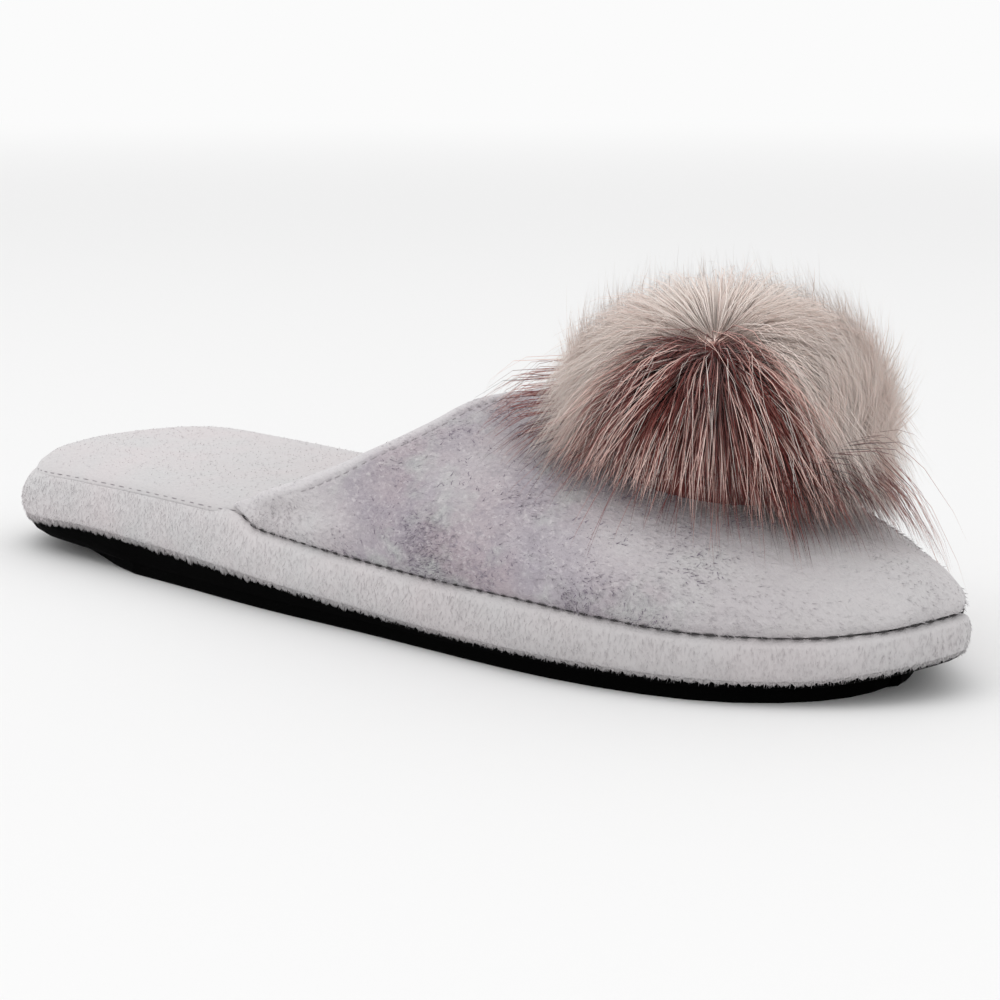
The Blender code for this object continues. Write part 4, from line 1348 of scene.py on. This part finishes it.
def clearOfVamp(hair, most):  # swings up what would pass through the vamp, and drops what lies too deep under the pompom
    lift = np.zeros(len(hair["reach"]))
    for place in (0.3, 0.45, 0.6, 0.8, 1.0):
        point = hair["root"] + hair["heading"] * (hair["reach"] * place)[:, None] + hair["bend"] * place**2
        need = vampHeight(point[:, 0], point[:, 1]) + 0.0004 + 0.0014 * hair["thick"] - point[:, 2]
        lift = np.maximum(lift, need / place)
    way = hair["heading"] * hair["reach"][:, None]
    way[:, 2] += lift
    hair["reach"] = np.linalg.norm(way, axis=1)
    hair["heading"] = way / hair["reach"][:, None]
    over = hair["root"][:, 2] - vampHeight(hair["root"][:, 0], hair["root"][:, 1])
    keep = (lift < most) & (over > -0.001)
    return {key: value[keep] for key, value in hair.items()}


fur = furTree()
coarse = makeStrand("coarseStrand", [(0.0, 1.0), (0.3, 1.05), (0.6, 0.8), (0.85, 0.45)])
middling = makeStrand("middlingStrand", [(0.0, 1.0), (0.4, 1.0), (0.75, 0.65)])
fine = makeStrand("fineStrand", [(0.0, 1.0), (0.5, 0.85)])
furPieces = []
for name, strand in (("undercoat", middling), ("guard", coarse), ("down", fine), ("wisps", coarse)):
    loose = wisps() if name == "wisps" else furLayer(name)
    hair = clearOfVamp(loose, pomLooks["wispLift" if name == "wisps" else "furLift"])
    values = {key: hair[key] for key in hair if key != "root"}
    piece = newPiece(f"pompom{name.capitalize()}", hair["root"], [], values, turn=False)
    furPieces.append(growBy(piece, fur, {"Strand": strand, "Width": pomLooks["width"], "Material": pompomFur}))
    print(piece.name, len(piece.data.vertices), len(piece.data.polygons))


# pile of the band's lower edge, hanging over the rubber in small tufts
fringeLooks = {"hairs": 7000, "tuft": 0.0026, "reach": 0.0013, "toeShare": 0.45, "gather": 0.70, "out": 0.04}


def makeFringe():
    angles = np.linspace(0, 2 * math.pi, fringeLooks["hairs"] * 4, endpoint=False)
    x, y = outlinePoints(angles, 0.0)
    step = np.hypot(np.diff(x, append=x[0]), np.diff(y, append=y[0]))
    run = np.cumsum(step)
    at = (np.arange(fringeLooks["hairs"]) + dice.random(fringeLooks["hairs"])) * run[-1] / fringeLooks["hairs"]
    tufts = np.arange(0, run[-1], fringeLooks["tuft"])
    tufts = tufts + fringeLooks["tuft"] * 0.5 * (dice.random(len(tufts)) - 0.5)
    own = np.argmin(np.abs(at[:, None] - tufts[None, :]), axis=1)
    angle = np.interp(at, run, angles)
    goal = np.interp(at + (tufts[own] - at) * fringeLooks["gather"], run, angles)
    up = 0.01 + 0.07 * dice.random(len(at))
    inset = through(bandRows, 1, up) - 0.00005
    x, y = outlinePoints(angle, inset)
    low = rimTop(x / slipperForm["length"]) + 0.0002
    root = np.stack([x, y, low + up * (seamHeight(x / slipperForm["length"]) - low)], -1)
    size = 0.55 + 0.55 * dice.random(len(tufts))[own] + 0.25 * dice.random(len(at))
    size *= 1 - (1 - fringeLooks["toeShare"]) * smoothStep((x / slipperForm["length"] - 0.35) / 0.4)
    outX, outY = outlinePoints(goal, inset - fringeLooks["reach"] * fringeLooks["out"] * size)
    tip = np.stack([outX, outY, root[:, 2] - fringeLooks["reach"] * size], -1)
    way = tip - root
    reach = np.linalg.norm(way, axis=1)
    count = len(at)
    # painted shade on the fringe, growing towards the toe like the band's
    paintedShade = smoothStep((x / slipperForm["length"] - 0.30) / 0.55)
    values = {"heading": way / reach[:, None], "reach": reach, "bend": np.zeros((count, 3)), "paintedShade": paintedShade}
    values["thick"] = 0.8 + 0.4 * dice.random(count)
    piece = newPiece("bandFringe", root, [], values, turn=False)
    return growBy(piece, fur, {"Strand": fine, "Width": napLooks["thick"], "Material": bandPlush})


bandFringe = makeFringe()


def makeCore():  # backing of the fur, under the strands
    mesh = bpy.data.meshes.new("pompomCore")
    work = bmesh.new()
    bmesh.ops.create_icosphere(work, subdivisions=4, radius=1.0)
    for vert in work.verts:
        vert.co = Vector(toFrame(centre + np.array(vert.co) * core * 0.99))
    work.to_mesh(mesh)
    work.free()
    count = len(mesh.vertices)
    place = np.empty(count * 3)
    mesh.vertices.foreach_get("co", place)
    place = place.reshape(-1, 3) + np.array([slipperForm["heelFlat"], 0, 0])
    _, turn = awayFromParting(unit((place - centre) / core))
    tint = (0.12 + 0.66 * inFan(turn)).astype(np.float32)
    mesh.attributes.new("tint", "FLOAT", "POINT").data.foreach_set("value", tint)
    mesh.shade_smooth()
    piece = bpy.data.objects.new("pompomCore", mesh)
    bpy.context.scene.collection.objects.link(piece)
    mesh.materials.append(pompomFur)
    return piece


pomCore = makeCore()
for helper in (fibreShape, fleckShape, stitchShape, coarse, middling, fine):
    bpy.data.objects.remove(helper)
print("pompom made")

# what rides and replaces what
dressed = {
    "platform": [band, bandNap, bandFringe],
    "insole": [insole, insoleNap, insoleStitches],
    "upper": [vamp, vampNap, vampFlecks, seamStitches, hemStitches],
    "pom_pom": [pomCore] + furPieces,
}
for node, pieces in dressed.items():
    for piece in pieces:
        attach(piece, "root")
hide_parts("platform")
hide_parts("insole")
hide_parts("upper")
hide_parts("pom_pom")

# floor, light and camera
studio = {
    "floor": (0.845, 0.845, 0.845),
    "world": 0.965,
    "fadeStart": 0.8,  # where the floor begins to run into the white backdrop
    "fadeEnd": 3.0,
    "keyPower": 4.6,
    "fillPower": 0.9,
    "keySize": 1.2,
    "lens": 86.4,
    "eye": (0.4802, -0.3998, 0.1255),
    "azimuth": 39.9,
    "elevation": 11.0,
}
floorMesh = bpy.data.meshes.new("floor")
floorMesh.from_pydata([(-40, -40, 0), (40, -40, 0), (40, 40, 0), (-40, 40, 0)], [], [(0, 1, 2, 3)])
floor = bpy.data.objects.new("floor", floorMesh)
bpy.context.scene.collection.objects.link(floor)
floorMaterial, floorTree, floorShader, _ = newMaterial("floorPaper")
floorShader.inputs["Base Color"].default_value = (*studio["floor"], 1)
floorShader.inputs["Roughness"].default_value = 0.9
floorShader.inputs["Specular IOR Level"].default_value = 0.1
glow = addNode(floorTree, "ShaderNodeEmission")
glow.inputs["Strength"].default_value = studio["world"]
far = addNode(floorTree, "ShaderNodeVectorMath", operation="LENGTH")
floorTree.links.new(addNode(floorTree, "ShaderNodeTexCoord").outputs["Object"], far.inputs[0])
blendNode = addNode(floorTree, "ShaderNodeMixShader")
fade = addNode(floorTree, "ShaderNodeMapRange", interpolation_type="SMOOTHSTEP")
fade.inputs["From Min"].default_value, fade.inputs["From Max"].default_value = studio["fadeStart"], studio["fadeEnd"]
floorTree.links.new(far.outputs["Value"], fade.inputs["Value"])
floorTree.links.new(fade.outputs["Result"], blendNode.inputs["Fac"])
floorTree.links.new(floorShader.outputs["BSDF"], blendNode.inputs[1])
floorTree.links.new(glow.outputs["Emission"], blendNode.inputs[2])
floorTree.links.new(blendNode.outputs["Shader"], floorTree.nodes["Material Output"].inputs["Surface"])
floorMesh.materials.append(floorMaterial)
floor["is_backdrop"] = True

world = bpy.data.worlds.new("studio")
world.use_nodes = True
world.node_tree.nodes["Background"].inputs["Color"].default_value = (1, 1, 1, 1)
world.node_tree.nodes["Background"].inputs["Strength"].default_value = studio["world"]
bpy.context.scene.world = world


def areaLight(name, place, target, size, power):
    light = bpy.data.lights.new(name, "AREA")
    light.size, light.energy = size, power
    lamp = bpy.data.objects.new(name, light)
    lamp.location = place
    lamp.rotation_euler = (Vector(target) - Vector(place)).to_track_quat("-Z", "Y").to_euler()
    bpy.context.scene.collection.objects.link(lamp)


areaLight("keyLight", (0.0, -0.65, 1.5), (0.08, 0, 0), studio["keySize"], studio["keyPower"])
areaLight("sideLight", (1.0, -0.1, 0.8), (0.14, 0, 0.04), studio["keySize"], studio["fillPower"])

camera = bpy.data.objects.new("camera", bpy.data.cameras.new("camera"))
camera.data.lens, camera.data.sensor_width = studio["lens"], 36.0
camera.data.clip_start, camera.data.clip_end = 0.01, 100
turn, tilt = math.radians(studio["azimuth"]), math.radians(studio["elevation"])
gaze = Vector((-math.sin(turn) * math.cos(tilt), math.cos(turn) * math.cos(tilt), -math.sin(tilt)))
camera.location = toFrame(studio["eye"])
camera.rotation_euler = gaze.to_track_quat("-Z", "Y").to_euler()
bpy.context.scene.collection.objects.link(camera)
bpy.context.scene.camera = camera
bpy.context.scene.view_settings.view_transform = "Standard"

low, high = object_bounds()
{"cad": [list(cadLow), list(cadHigh)], "visual": [list(low), list(high)]}
